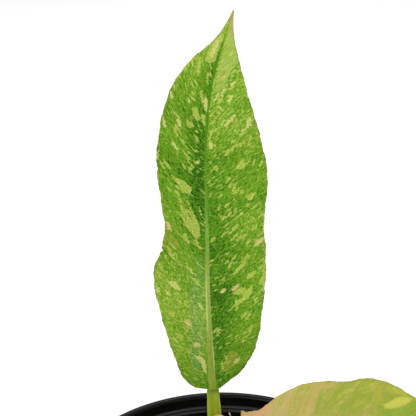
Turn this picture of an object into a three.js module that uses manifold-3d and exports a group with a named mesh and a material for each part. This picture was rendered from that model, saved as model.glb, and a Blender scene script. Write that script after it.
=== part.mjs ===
// Potted ring of fire philodendron: a black nursery pot with soil, a short stem, two leaves on
// their stalks, a rolled new leaf and a dry sheath. Millimetres, +Z up, origin at the middle of
// the pot's base. The upright leaf shows its upper face towards -Y.
import * as THREE from 'three';
import { mergeVertices } from 'three/addons/utils/BufferGeometryUtils.js';
import Module from 'manifold-3d';

const wasm = await Module();
wasm.setup();

// Pot
const POT_HEIGHT = 95;
const RIM_RADIUS = 60;
const RIM_BAND = 7.4;
const FOOT_RADIUS = 42.6;
const FOOT_RECESS = 1.8;
const BOSS_RADIUS = 13;
const FLOOR_TOP = 3.4;
const INNER_FLOOR_RADIUS = 41;
const WALL_BOTTOM = [42.2, 4.8];
const WALL_TOP = [54.6, 89.6];
const DRAIN_COUNT = 8;
const DRAIN_RADIUS = 3.2;
const DRAIN_CIRCLE = 31;
const ROUND_SIDES = 64;

// Soil
const GAP = 0.35;
const SOIL_LEVEL = 84.4;
const SOIL_MOUND = 2.2;
const SOIL_RINGS = 15;
const BARK_CHIPS = 26;
const BARK_SEED = 2024;

// Stem
const STEM_RADIUS = 5.4;
const STEM_BOTTOM = 62;
const STEM_TOP = 94;
const STEM_SIDES = 20;
const STEM_STEPS = 20;

// Leaves. A blade lies along its midrib: s runs from the stalk to the tip, w across, left negative.
const BLADE_THICKNESS = 0.8;
const BLADE_ROWS = 42;
const HALF_COLUMNS = 5;
const MIDRIB_STEP = 0.5;
// Share of the midrib's length where the side vein starts that ends this far along the margin.
const VEIN_ROOTS = [[0, 0], [0.1, 0.014], [0.2, 0.07], [0.35, 0.21], [0.6, 0.48], [0.8, 0.71],
  [0.92, 0.88], [1, 1]];
const VEIN_BEND = 0.25;

const UPRIGHT = {
  base: [-4.1, 5, 135.9],
  length: 124,
  azimuth: [[0, 90], [124, 90]],
  elevation: [[0, 85], [60, 80], [110, 74], [124, 72]],
  sway: [[0, -3.6], [30, -2.1], [60, -0.4], [85, 1.9], [100, 10.5], [112, 18.8], [124, 14.1]],
  roll: [[0, 0], [124, 0]],
  fold: [[0, 10], [124, 10]],
  left: [[0.1, 2.2], [1.2, 5.7], [4.8, 9.1], [10.9, 11], [18.1, 12.8], [28.3, 15.2], [37.8, 17],
    [44.3, 16.5], [49.2, 14.4], [56, 12.9], [66, 13.9], [77, 15.1], [86, 14.5], [95.8, 12.8],
    [101.5, 10.8], [107.5, 6.9], [113.8, 3], [119.5, 1], [124, 0.2]],
  right: [[0.1, 2.2], [2.2, 3.9], [5.7, 8.2], [10.8, 11.9], [18.7, 15.4], [27.6, 17.1], [39.6, 18.7],
    [48.8, 18.8], [59, 18.1], [66.3, 18.8], [74, 19.2], [81.5, 17.8], [89.4, 15.7], [99, 11.9],
    [108.4, 7.4], [115.7, 2.9], [120.6, 0.9], [124, 0.2]],
  leftWave: { height: 1.3, length: 41, shift: 4 },
  rightWave: { height: 1.5, length: 36, shift: 16 },
  rib: [[0, 1.9], [20, 1.2], [60, 0.8], [110, 0.4], [124, 0.2]],
  ribDepth: [[0, 1.9], [12, 1.2], [60, 0.7], [110, 0.3], [124, 0.1]],
};

const RIGHT = {
  base: [7, -12, 127.2],
  length: 120,
  azimuth: [[0, -10], [60, -19], [120, -26]],
  elevation: [[0, 22], [30, 11], [60, -8], [90, -26], [120, -42]],
  sway: [[0, 0], [120, 0]],
  roll: [[0, 6], [120, 6]],
  fold: [[0, 18], [120, 12]],
  left: [[0, 2.3], [-1.7, 6.5], [-2.3, 10.4], [-2.1, 12.4], [-0.6, 11.3], [1.5, 10.7], [4, 10.6],
    [6.5, 11.7], [11.5, 14.9], [17.5, 17.8], [23.7, 19.1], [29.5, 18.9], [36.2, 19.8],
    [41.4, 18.6], [46.3, 16.3], [51, 14.6], [57, 14.2], [65, 15], [74, 16], [84, 15], [94, 12],
    [104, 7.8], [112, 3.9], [117, 1.7], [120, 0.4]],
  right: [[0, 2.3], [-1.4, 5.5], [1, 9.2], [6, 12], [13, 15], [22, 17.8], [32, 19.4], [42, 19.1],
    [51, 17.2], [58, 16.6], [66, 17.2], [75, 17.4], [85, 15.4], [95, 11.8], [104, 7.8], [112, 4],
    [117, 1.7], [120, 0.4]],
  leftWave: { height: 0.9, length: 38, shift: 0 },
  rightWave: { height: 1.8, length: 33, shift: 9 },
  rib: [[0, 1.9], [20, 1.2], [60, 0.8], [105, 0.4], [120, 0.2]],
  ribDepth: [[0, 1.9], [12, 1.2], [60, 0.7], [105, 0.3], [120, 0.1]],
};

// Stalks, from the top of the stem to the blade
const STALK_HALF_WIDTH = 2.35;
const STALK_HALF_DEPTH = 1.9;
const STALK_SIDES = 14;
const STALK_STEPS = 14;
const STALK_TURN = 0.45;
const STALK_BASE_UPRIGHT = [-2.3, 2.5, 94.4];
const STALK_BASE_RIGHT = [4, -0.7, 94.4];

// Rolled new leaf
const NEW_LEAF_BASE = [-0.8, -3.3, 94.4];
const NEW_LEAF_TIP = [-1.9, -1.6, 129.8];
const NEW_LEAF_RADIUS = 2.7;
const NEW_LEAF_SIDES = 18;
const NEW_LEAF_STEPS = 18;

// Dry sheath, an open papery wrap on the right of the upright leaf's stalk
// The share of the stalk's height that it reaches
const SHEATH_REACH = 0.78;
const SHEATH_FOOT = 0.01;
const SHEATH_THICKNESS = 0.6;
const SHEATH_ROWS = 16;
const SHEATH_COLUMNS = 6;

// A smooth curve through [x, y] points, with its slopes taken from the neighbours.
function smooth(points, x) {
  const last = points.length - 1;
  const at = Math.min(Math.max(x, points[0][0]), points[last][0]);
  let i = 0;
  while (i < last - 1 && at > points[i + 1][0]) i += 1;
  const step = (k) => (points[k + 1][1] - points[k][1]) / (points[k + 1][0] - points[k][0]);
  const width = (k) => points[k + 1][0] - points[k][0];
  const slope = (k) => {
    if (k === 0) return step(0);
    if (k === last) return step(last - 1);
    return (step(k - 1) * width(k) + step(k) * width(k - 1)) / (width(k - 1) + width(k));
  };
  const h = width(i);
  const t = (at - points[i][0]) / h;
  return (2 * t ** 3 - 3 * t ** 2 + 1) * points[i][1]
    + (t ** 3 - 2 * t ** 2 + t) * h * slope(i)
    + (-2 * t ** 3 + 3 * t ** 2) * points[i + 1][1]
    + (t ** 3 - t ** 2) * h * slope(i + 1);
}

const radians = (degrees) => degrees * Math.PI / 180;

// The pot and the soil are turned about Z, so a profile is a list of [radius, height].
function turned(profile) {
  const points = profile.map(([radius, height]) => new THREE.Vector2(radius, height));
  return new THREE.LatheGeometry(points, ROUND_SIDES).rotateX(Math.PI / 2);
}

// Shared corners are merged and triangles that vanish on the axis are dropped before a boolean.
function solid(geometry) {
  const bare = geometry.clone();
  bare.deleteAttribute('normal');
  bare.deleteAttribute('uv');
  const merged = mergeVertices(bare, 1e-4);
  const corners = [];
  const index = merged.index.array;
  for (let i = 0; i < index.length; i += 3) {
    const [a, b, c] = [index[i], index[i + 1], index[i + 2]];
    if (a !== b && b !== c && c !== a) corners.push(a, b, c);
  }
  const vertProperties = merged.attributes.position.array;
  const triVerts = new Uint32Array(corners);
  return new wasm.Manifold(new wasm.Mesh({ numProp: 3, vertProperties, triVerts }));
}

function surfaceOf(manifold) {
  const mesh = manifold.getMesh();
  const geometry = new THREE.BufferGeometry();
  geometry.setAttribute('position', new THREE.BufferAttribute(new Float32Array(mesh.vertProperties), 3));
  geometry.setIndex(new THREE.BufferAttribute(new Uint32Array(mesh.triVerts), 1));
  geometry.computeVertexNormals();
  return geometry;
}

function upright(radius, bottom, top, sides, x = 0, y = 0) {
  const geometry = new THREE.CylinderGeometry(radius, radius, top - bottom, sides).rotateX(Math.PI / 2);
  return geometry.translate(x, y, (top + bottom) / 2);
}

// Pot with a foot ring, a flat boss under its middle, a hollow rim band and a stepped collar.
function potGeometry() {
  const [wallRadius, wallHeight] = WALL_TOP;
  const bandFoot = POT_HEIGHT - RIM_BAND;
  const shell = solid(turned([
    [0, 0], [BOSS_RADIUS, 0], [BOSS_RADIUS + 1, FOOT_RECESS],
    [FOOT_RADIUS - 4.4, FOOT_RECESS], [FOOT_RADIUS - 3.4, 0], [FOOT_RADIUS, 0],
    [FOOT_RADIUS + 0.6, 0.6], [wallRadius + 1.4, bandFoot], [wallRadius + 1.6, wallHeight],
    [RIM_RADIUS - 1.5, wallHeight], [RIM_RADIUS - 1.3, bandFoot], [RIM_RADIUS - 0.3, bandFoot],
    [RIM_RADIUS, bandFoot + 0.6], [RIM_RADIUS, POT_HEIGHT - 0.8], [RIM_RADIUS - 0.6, POT_HEIGHT],
    [RIM_RADIUS - 2, POT_HEIGHT], [RIM_RADIUS - 2.7, POT_HEIGHT - 0.7],
    [RIM_RADIUS - 3, POT_HEIGHT - 4.1], [RIM_RADIUS - 4.1, POT_HEIGHT - 4.3],
    [RIM_RADIUS - 4.2, POT_HEIGHT - 5], [wallRadius + 0.1, POT_HEIGHT - 5.1],
    WALL_TOP, WALL_BOTTOM, [INNER_FLOOR_RADIUS, FLOOR_TOP], [0, FLOOR_TOP],
  ]));
  const drains = [];
  for (let i = 0; i < DRAIN_COUNT; i += 1) {
    const turn = (i + 0.5) / DRAIN_COUNT * 2 * Math.PI;
    const x = DRAIN_CIRCLE * Math.cos(turn);
    const y = DRAIN_CIRCLE * Math.sin(turn);
    drains.push(solid(upright(DRAIN_RADIUS, -1, FLOOR_TOP + 1, 16, x, y)));
  }
  return surfaceOf(drains.reduce((pot, drain) => pot.subtract(drain), shell));
}

// Height of the soil: a low mound with lumps that fade out towards the wall.
function soilHeight(x, y) {
  const radius = Math.hypot(x, y);
  const mound = SOIL_MOUND * Math.exp(-((radius / 22) ** 2));
  const fade = Math.min(1, (55 - radius) / 14);
  const lumps = 0.9 * Math.sin(0.31 * x + 1.3) * Math.sin(0.27 * y + 0.4)
    + 0.7 * Math.sin(0.52 * x - 0.43 * y + 2) * Math.sin(0.47 * y + 0.38 * x)
    + 0.4 * Math.sin(0.83 * x + 0.36 * y);
  return SOIL_LEVEL + mound + fade * lumps;
}

// The same row of numbers between 0 and 1 comes from the same seed.
function randomRow(seed) {
  let value = seed;
  return () => {
    value = value * 16807 % 2147483647;
    return value / 2147483647;
  };
}

// Bark chips lie evenly scattered, half sunk in the soil, each an uneven slab.
function barkChips() {
  const random = randomRow(BARK_SEED);
  const chips = [];
  for (let i = 0; i < BARK_CHIPS; i += 1) {
    const radius = 13 + 33 * Math.sqrt((i + 0.5) / BARK_CHIPS);
    const turn = i * 2.4 + 0.5 * random();
    const size = [5 + 4 * random(), 3 + 2 * random(), 1.8 + 1.2 * random()];
    const slab = new THREE.CylinderGeometry(0.38, 0.5, 1, 6).rotateX(Math.PI / 2);
    slab.scale(...size);
    slab.rotateX(0.5 * (random() - 0.5));
    slab.rotateY(0.5 * (random() - 0.5));
    slab.rotateZ(Math.PI * random());
    const x = radius * Math.cos(turn);
    const y = radius * Math.sin(turn);
    chips.push(slab.translate(x, y, soilHeight(x, y) + 0.2));
  }
  return chips;
}

function soilGeometry() {
  const [bottomRadius, bottomHeight] = WALL_BOTTOM;
  const [topRadius, topHeight] = WALL_TOP;
  const edge = bottomRadius + (topRadius - bottomRadius) * (SOIL_LEVEL - bottomHeight)
    / (topHeight - bottomHeight) - GAP;
  const profile = [[0, FLOOR_TOP + GAP], [INNER_FLOOR_RADIUS - GAP, FLOOR_TOP + GAP],
    [bottomRadius - GAP, bottomHeight + GAP], [edge, SOIL_LEVEL]];
  for (let ring = SOIL_RINGS - 1; ring >= 0; ring -= 1) {
    profile.push([edge * ring / SOIL_RINGS, SOIL_LEVEL]);
  }
  const geometry = turned(profile);
  const position = geometry.attributes.position;
  for (let i = 0; i < position.count; i += 1) {
    if (position.getZ(i) > SOIL_LEVEL - 1) {
      position.setZ(i, soilHeight(position.getX(i), position.getY(i)));
    }
  }
  const chips = barkChips().map(solid);
  const filled = chips.reduce((soil, chip) => soil.add(chip), solid(geometry));
  const hole = solid(upright(STEM_RADIUS + GAP, STEM_BOTTOM - GAP, STEM_TOP + 5, STEM_SIDES));
  return surfaceOf(filled.subtract(hole));
}

// A cylinder's points moved so that it follows a path. place(t, turn, reach) gives the new point,
// with t from 0 to 1 along it, turn round it and reach 0 on its axis or 1 on its skin.
function bentCylinder(sides, steps, place) {
  const geometry = new THREE.CylinderGeometry(1, 1, 1, sides, steps);
  const position = geometry.attributes.position;
  for (let i = 0; i < position.count; i += 1) {
    const [x, y, z] = [position.getX(i), position.getY(i), position.getZ(i)];
    const reach = Math.hypot(x, z) > 0.5 ? 1 : 0;
    const point = place(y + 0.5, Math.atan2(-z, x), reach);
    position.setXYZ(i, point.x, point.y, point.z);
  }
  geometry.computeVertexNormals();
  return geometry;
}

// Short stem with the ring scars of fallen leaves above the soil.
function stemGeometry() {
  return bentCylinder(STEM_SIDES, STEM_STEPS, (t, turn, reach) => {
    const height = STEM_BOTTOM + t * (STEM_TOP - STEM_BOTTOM);
    const aboveSoil = Math.max(0, height - SOIL_LEVEL - SOIL_MOUND - 1);
    const scar = 0.35 * Math.sin(1.3 * aboveSoil + 0.6 * Math.cos(turn)) * Math.min(1, aboveSoil);
    const shoulder = smooth([[0, 1], [0.9, 1], [0.96, 0.98], [1, 0.9]], t);
    const radius = (STEM_RADIUS + scar) * shoulder * reach;
    return new THREE.Vector3(radius * Math.cos(turn), radius * Math.sin(turn), height);
  });
}

// The midrib of a blade: for any s its place, and the forward, side and upper directions there.
function midrib(leaf) {
  const stations = [];
  const place = new THREE.Vector3(...leaf.base);
  const count = Math.round(leaf.length / MIDRIB_STEP);
  for (let i = 0; i <= count; i += 1) {
    const s = i * MIDRIB_STEP;
    const turn = radians(smooth(leaf.azimuth, s));
    const rise = radians(smooth(leaf.elevation, s));
    const sway = radians(smooth(leaf.sway, s));
    const roll = radians(smooth(leaf.roll, s));
    const ahead = new THREE.Vector3(Math.cos(turn), Math.sin(turn), 0);
    const straight = ahead.clone().multiplyScalar(Math.cos(rise)).setZ(Math.sin(rise));
    const flatUp = ahead.clone().multiplyScalar(-Math.sin(rise)).setZ(Math.cos(rise));
    const flatSide = straight.clone().cross(flatUp);
    const along = straight.clone().applyAxisAngle(flatUp, -sway);
    const side = flatSide.applyAxisAngle(flatUp, -sway).applyAxisAngle(along, roll);
    const up = flatUp.applyAxisAngle(along, roll);
    if (i > 0) {
      place.addScaledVector(along.clone().add(stations[i - 1].along), MIDRIB_STEP / 2);
    }
    stations.push({ place: place.clone(), along, side, up });
  }
  return (s) => {
    const position = Math.min(Math.max(s / MIDRIB_STEP, 0), count);
    const i = Math.min(Math.floor(position), count - 1);
    const [a, b] = [stations[i], stations[i + 1]];
    const mixed = {};
    for (const key of ['place', 'along', 'side', 'up']) {
      mixed[key] = a[key].clone().lerp(b[key], position - i);
    }
    mixed.place.addScaledVector(mixed.along, s - position * MIDRIB_STEP);
    return mixed;
  };
}

// The margin as a curve of [s, w], read by the share t of its length from stalk to tip.
function margin(outline) {
  const alongS = [];
  const alongW = [];
  let run = 0;
  outline.forEach(([s, w], i) => {
    if (i > 0) run += Math.hypot(s - outline[i - 1][0], w - outline[i - 1][1]);
    alongS.push([run, s]);
    alongW.push([run, w]);
  });
  return (t) => [smooth(alongS, t * run), smooth(alongW, t * run)];
}

// A thin closed plate on a grid. corner(row, column, face) gives its points, face 1 above and
// -1 below. Both faces are split into triangles alike.
function plate(rows, columns, corner) {
  const positions = [];
  for (const face of [1, -1]) {
    for (let row = 0; row <= rows; row += 1) {
      for (let column = 0; column <= columns; column += 1) {
        positions.push(...corner(row, column, face).toArray());
      }
    }
  }
  const above = (row, column) => row * (columns + 1) + column;
  const below = (row, column) => (rows + 1) * (columns + 1) + above(row, column);
  const index = [];
  for (let row = 0; row < rows; row += 1) {
    for (let column = 0; column < columns; column += 1) {
      const quad = [[row, column], [row, column + 1], [row + 1, column + 1], [row + 1, column]];
      const [a, b, c, d] = quad.map((at) => above(...at));
      const [e, f, g, h] = quad.map((at) => below(...at));
      index.push(a, b, c, a, c, d, e, g, f, e, h, g);
    }
  }
  const border = [];
  for (let column = 0; column < columns; column += 1) border.push([0, column]);
  for (let row = 0; row < rows; row += 1) border.push([row, columns]);
  for (let column = columns; column > 0; column -= 1) border.push([rows, column]);
  for (let row = rows; row > 0; row -= 1) border.push([row, 0]);
  border.forEach((from, i) => {
    const to = border[(i + 1) % border.length];
    index.push(below(...from), below(...to), above(...to), below(...from), above(...to), above(...from));
  });
  const geometry = new THREE.BufferGeometry();
  geometry.setAttribute('position', new THREE.Float32BufferAttribute(positions, 3));
  geometry.setIndex(index);
  geometry.computeVertexNormals();
  return geometry;
}

// A blade's rows follow its side veins from the midrib to the margin, its columns run lengthways.
function bladeGeometry(leaf) {
  const stationAt = midrib(leaf);
  const margins = { left: margin(leaf.left), right: margin(leaf.right) };
  return plate(BLADE_ROWS, 2 * HALF_COLUMNS, (row, column, face) => {
    const t = row / BLADE_ROWS;
    const root = leaf.length * smooth(VEIN_ROOTS, t);
    const name = column < HALF_COLUMNS ? 'left' : 'right';
    const sign = name === 'left' ? -1 : 1;
    const [marginS, marginW] = margins[name](t);
    const ribShare = Math.min(0.5, smooth(leaf.rib, root) / marginW);
    const step = Math.abs(column - HALF_COLUMNS);
    const v = step === 0 ? 0 : ribShare + (1 - ribShare) * (step - 1) / (HALF_COLUMNS - 1);
    const s = root + (marginS - root) * v * (1 - VEIN_BEND + VEIN_BEND * v);
    const w = marginW * v;
    const fold = radians(smooth(leaf.fold, s));
    const wave = leaf[`${name}Wave`];
    const lift = wave.height * v ** 2 * Math.min(1, marginW / 12)
      * Math.sin(2 * Math.PI * (s - wave.shift) / wave.length);
    const rib = step === 0 ? smooth(leaf.ribDepth, root) : 0;
    const thickness = face > 0 ? BLADE_THICKNESS / 2 + 0.3 * rib : -BLADE_THICKNESS / 2 - rib;
    const { place, side, up } = stationAt(s);
    return place.addScaledVector(side, sign * w * Math.cos(fold))
      .addScaledVector(up, w * Math.sin(fold) + lift)
      .addScaledVector(up, thickness * Math.cos(fold))
      .addScaledVector(side, -sign * (step === 0 ? 0 : thickness) * Math.sin(fold));
  });
}

// The stalk's path leaves the stem steeply and turns partly into the midrib's direction.
function stalkPath(base, leaf) {
  const { place, along, side } = midrib(leaf)(0);
  const start = new THREE.Vector3(...base);
  const end = place.addScaledVector(along, -GAP);
  const reach = start.distanceTo(end) / 3;
  const straight = end.clone().sub(start).normalize();
  const arrival = straight.lerp(along, STALK_TURN).normalize();
  const curve = new THREE.CubicBezierCurve3(
    start,
    start.clone().add(new THREE.Vector3(0, 0, reach)),
    end.clone().addScaledVector(arrival, -reach),
    end,
  );
  return (t) => {
    const forward = curve.getTangent(t).lerp(along, Math.max(0, 8 * t - 7)).normalize();
    const across = side.clone().addScaledVector(forward, -side.dot(forward)).normalize();
    const back = forward.clone().cross(across);
    return { place: curve.getPoint(t), across, back };
  };
}

// A stalk has a round back, a flatter front with a shallow channel, and a wider foot.
function stalkGeometry(base, leaf) {
  const at = stalkPath(base, leaf);
  return bentCylinder(STALK_SIDES, STALK_STEPS, (t, turn, reach) => {
    const { place, across, back } = at(t);
    const widen = smooth([[0, 1.2], [0.15, 1.12], [0.5, 1], [0.9, 0.94], [1, 0.94]], t) * reach;
    const sine = Math.sin(turn);
    const depth = sine > 0 ? sine : 0.72 * sine + 0.16 * sine ** 4;
    return place.addScaledVector(across, STALK_HALF_WIDTH * widen * Math.cos(turn))
      .addScaledVector(back, STALK_HALF_DEPTH * widen * depth);
  });
}

// The new leaf is rolled round itself, so its skin steps in at a seam that winds slowly up.
function newLeafGeometry() {
  const base = new THREE.Vector3(...NEW_LEAF_BASE);
  const tip = new THREE.Vector3(...NEW_LEAF_TIP);
  const widths = [[0, 0.72], [0.3, 0.86], [0.62, 1], [0.84, 1.05], [0.94, 0.86], [0.985, 0.5], [1, 0.26]];
  return bentCylinder(NEW_LEAF_SIDES, NEW_LEAF_STEPS, (t, turn, reach) => {
    const height = Math.sin(t * Math.PI / 2) ** 0.8;
    const seam = (turn / (2 * Math.PI) + 1.3 + 0.35 * height) % 1;
    const radius = NEW_LEAF_RADIUS * smooth(widths, height) * (0.86 + 0.16 * seam) * reach;
    const place = base.clone().lerp(tip, height);
    return place.add(new THREE.Vector3(radius * Math.cos(turn), radius * Math.sin(turn), 0));
  });
}

// The sheath wraps the right side of the upright leaf's stalk and narrows to a loose, bent tip.
function sheathGeometry() {
  const at = stalkPath(STALK_BASE_UPRIGHT, UPRIGHT);
  const distances = [[0, 3.4], [0.35, 3.9], [0.7, 5], [0.9, 5.5], [1, 4.7]];
  const spans = [[0, 48], [0.4, 44], [0.75, 27], [0.93, 12], [1, 4]];
  return plate(SHEATH_ROWS, SHEATH_COLUMNS, (row, column, face) => {
    const t = row / SHEATH_ROWS;
    const { place } = at(SHEATH_FOOT + (SHEATH_REACH - SHEATH_FOOT) * t);
    const turn = radians(smooth(spans, t)) * (2 * column / SHEATH_COLUMNS - 1);
    const radius = smooth(distances, t) + (face > 0 ? SHEATH_THICKNESS : 0);
    return place.add(new THREE.Vector3(radius * Math.cos(turn), radius * Math.sin(turn), 0));
  });
}

function finish(color, roughness) {
  return new THREE.MeshStandardMaterial({ color, roughness, metalness: 0 });
}

const potted = new THREE.Group();

function addPiece(name, geometry, material) {
  const mesh = new THREE.Mesh(geometry, material);
  mesh.name = name;
  potted.add(mesh);
}

addPiece('pot', potGeometry(), finish(0x141414, 0.45));
addPiece('soil', soilGeometry(), finish(0x33251b, 0.95));
addPiece('stem', stemGeometry(), finish(0x7c8a3e, 0.6));
addPiece('petiole_upright', stalkGeometry(STALK_BASE_UPRIGHT, UPRIGHT), finish(0x8da036, 0.45));
addPiece('petiole_right', stalkGeometry(STALK_BASE_RIGHT, RIGHT), finish(0x93a23c, 0.45));
addPiece('blade_upright', bladeGeometry(UPRIGHT), finish(0x5f9a2c, 0.4));
addPiece('blade_right', bladeGeometry(RIGHT), finish(0xaaa94e, 0.4));
addPiece('new_leaf', newLeafGeometry(), finish(0xe0965c, 0.4));
addPiece('dry_sheath', sheathGeometry(), finish(0xc9a878, 0.75));

export default potted;
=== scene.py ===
import math

import bmesh
import bpy
import numpy as np
from mathutils import Matrix, Vector, noise


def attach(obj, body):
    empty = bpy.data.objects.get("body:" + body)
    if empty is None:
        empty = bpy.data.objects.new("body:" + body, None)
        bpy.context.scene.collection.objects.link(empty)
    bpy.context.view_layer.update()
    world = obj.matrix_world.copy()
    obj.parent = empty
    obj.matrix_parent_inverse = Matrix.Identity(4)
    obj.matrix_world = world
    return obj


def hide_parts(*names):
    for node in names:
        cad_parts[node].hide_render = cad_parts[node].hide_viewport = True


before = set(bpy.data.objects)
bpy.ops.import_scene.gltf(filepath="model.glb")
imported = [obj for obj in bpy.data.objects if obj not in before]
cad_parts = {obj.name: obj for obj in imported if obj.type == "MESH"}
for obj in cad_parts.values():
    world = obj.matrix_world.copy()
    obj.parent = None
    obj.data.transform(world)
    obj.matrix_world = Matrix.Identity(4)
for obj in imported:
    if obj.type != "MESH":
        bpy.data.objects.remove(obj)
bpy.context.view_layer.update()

scene = bpy.context.scene
MM = 0.001

# Camera: the photograph looks down on the pot at 25 degrees from the front.
CAMERA_PLACE = (-5.69, -269.0, 329.4)
CAMERA_PITCH = 25
FOCAL_PIXELS = 1000
IMAGE_PIXELS = 416
SENSOR_WIDTH = 36

# Pot, in millimetres like every size below
POT_HEIGHT = 95
RIM_RADIUS = 60
RIM_BAND = 7.4
LIP_RISE = 0.6
FOOT_RADIUS = 42.6
FOOT_RECESS = 1.8
BOSS_RADIUS = 13
FLOOR_TOP = 3.4
INNER_FLOOR_RADIUS = 41
WALL_BOTTOM = (42.2, 4.8)
WALL_TOP = (54.6, 89.6)
DRAIN_COUNT = 8
DRAIN_RADIUS = 3.2
DRAIN_CIRCLE = 31
DRAIN_SIDES = 40
POT_SIDES = 192
CORNER_RADIUS = 0.35

# Soil
GAP = 0.35
SOIL_LEVEL = 84.4
SOIL_MOUND = 2.2
MOUND_SPREAD = 22
LUMPS_END = 55
LUMPS_FADE = 14
CRUMBLE_FADE = 6
SOIL_RINGS = 96
SOIL_SIDES = 300
BARK_CHIPS = 26
BARK_SEED = 2024
NEAREST_CHIP = 13
CHIP_SPREAD = 33
CHIP_TURN = 2.4
CHIP_CUTS = 7

# Beds that crumbs lie on
BED_RINGS = 30
BED_SIDES = 120
PEAT_BED = (7, 52.5)
PERLITE_BED = (8, 51)
LEDGE_BED = (54.9, 55.7)
LEDGE_HEIGHT = 90.15
LEDGE_TURN = (84, 91)

# Stem
STEM_RADIUS = 5.4
STEM_BOTTOM = 62
STEM_TOP = 94

# Leaves. A blade lies along its midrib: s runs from the stalk to the tip, w across, left negative.
BLADE_THICKNESS = 0.5
BLADE_ROWS = 400
RIB_COLUMNS = 8
HALF_COLUMNS = 42
MIDRIB_STEP = 0.5
VEIN_ROOTS = [(0, 0), (0.1, 0.014), (0.2, 0.07), (0.35, 0.21), (0.6, 0.48), (0.8, 0.71), (0.92, 0.88),
              (1, 1)]
VEIN_BEND = 0.25
SIDE_VEIN_GAP = 5.3
SIDE_VEIN_DEPTH = 0.07
RIGHT_HALF_START = 300
MARGIN_SAMPLES = 700
FAR = 1e9

# A mark's field is the distance inside its edge. It goes no lower than this.
MARK_FLOOR = -2.0

# Stretches of the midrib, each by the (start, end) of its rise and of its fall: where it leans to
# the right, and where a paler strand runs on its left and on its right
RIB_LEAN = ((42, 48), (56, 62))
LEFT_STRAND = ((18, 27), (37, 43))
RIGHT_STRAND = ((5, 9), (20, 24))
RIB_TONE_REACH = 124

UPRIGHT = {
    "base": (-4.1, 5, 135.9),
    "length": 124,
    "azimuth": [(0, 90), (124, 90)],
    "elevation": [(0, 85), (60, 80), (110, 74), (124, 72)],
    "sway": [(0, -3.6), (30, -2.1), (60, -0.4), (85, 1.9), (100, 10.5), (112, 18.8), (124, 14.1)],
    "roll": [(0, 0), (124, 0)],
    "fold": [(0, 10), (124, 10)],
    "left": [(0.1, 2.2), (1.2, 5.7), (4.8, 9.1), (10.9, 11), (18.1, 12.9), (28.3, 15.4), (37.8, 17.1),
             (44.3, 16.8), (49.2, 14.8), (56, 13.1), (66, 14.2), (77, 15.4), (86, 14.6),
             (95.8, 12.8), (101.5, 10.8), (107.5, 7.3), (113.8, 3.2), (119.5, 1.2), (124, 0.2)],
    "right": [(0.1, 2.4), (2.2, 4.9), (5.5, 9.1), (10.6, 12.8), (18.7, 15.6), (27.6, 17.1),
              (39.6, 18.7), (48.8, 18.8), (59, 18.1), (66.3, 18.8), (74, 19.2), (81.5, 17.8),
              (89.4, 15.7), (99, 11.9), (108.4, 7.4), (115.7, 2.9), (120.6, 0.9), (124, 0.2)],
    "left_nicks": [(50.1, 1.1, 0.36), (75.5, 0.2, 0.5)],
    "right_nicks": [(31.5, 0.25, 0.5), (86, 0.2, 0.4)],
    "left_wave": {"height": 1.3, "length": 41, "shift": 4},
    "right_wave": {"height": 1.5, "length": 36, "shift": 16},
    "rib": [(0, 1.35), (6, 1.2), (20, 0.86), (45, 0.66), (60, 0.52), (110, 0.3), (124, 0.15)],
    "rib_depth": [(0, 1.9), (12, 1.2), (60, 0.7), (110, 0.3), (124, 0.1)],
    # Ground tone beside the midrib and near the margin: 0 deep green, 1 lime. On this blade the low
    # stretches beside the midrib, high on the left and low on the right, are partly painted shade of the
    # fold.
    "left_tone": [[(0, 0.3), (15, 0.6), (32, 0.66), (45, 0.44), (60, 0.17), (85, 0.22), (95, 0.34),
                   (105, 0.3), (112, 0.36), (120, 0.5)],
                  [(0, 0.5), (15, 0.66), (30, 0.7), (46, 0.68), (52, 0.48), (60, 0.56), (75, 0.38),
                   (85, 0.52), (98, 0.55), (110, 0.7), (120, 0.9)]],
    "right_tone": [[(0, 0.2), (15, 0.26), (30, 0.22), (45, 0.26), (55, 0.28), (65, 0.34), (78, 0.44),
                    (90, 0.6), (100, 0.7), (120, 0.9)],
                   [(0, 0.32), (15, 0.52), (30, 0.48), (45, 0.53), (60, 0.54), (70, 0.44), (80, 0.54),
                    (90, 0.72), (98, 0.6), (106, 0.7), (114, 1)]],
}

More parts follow.
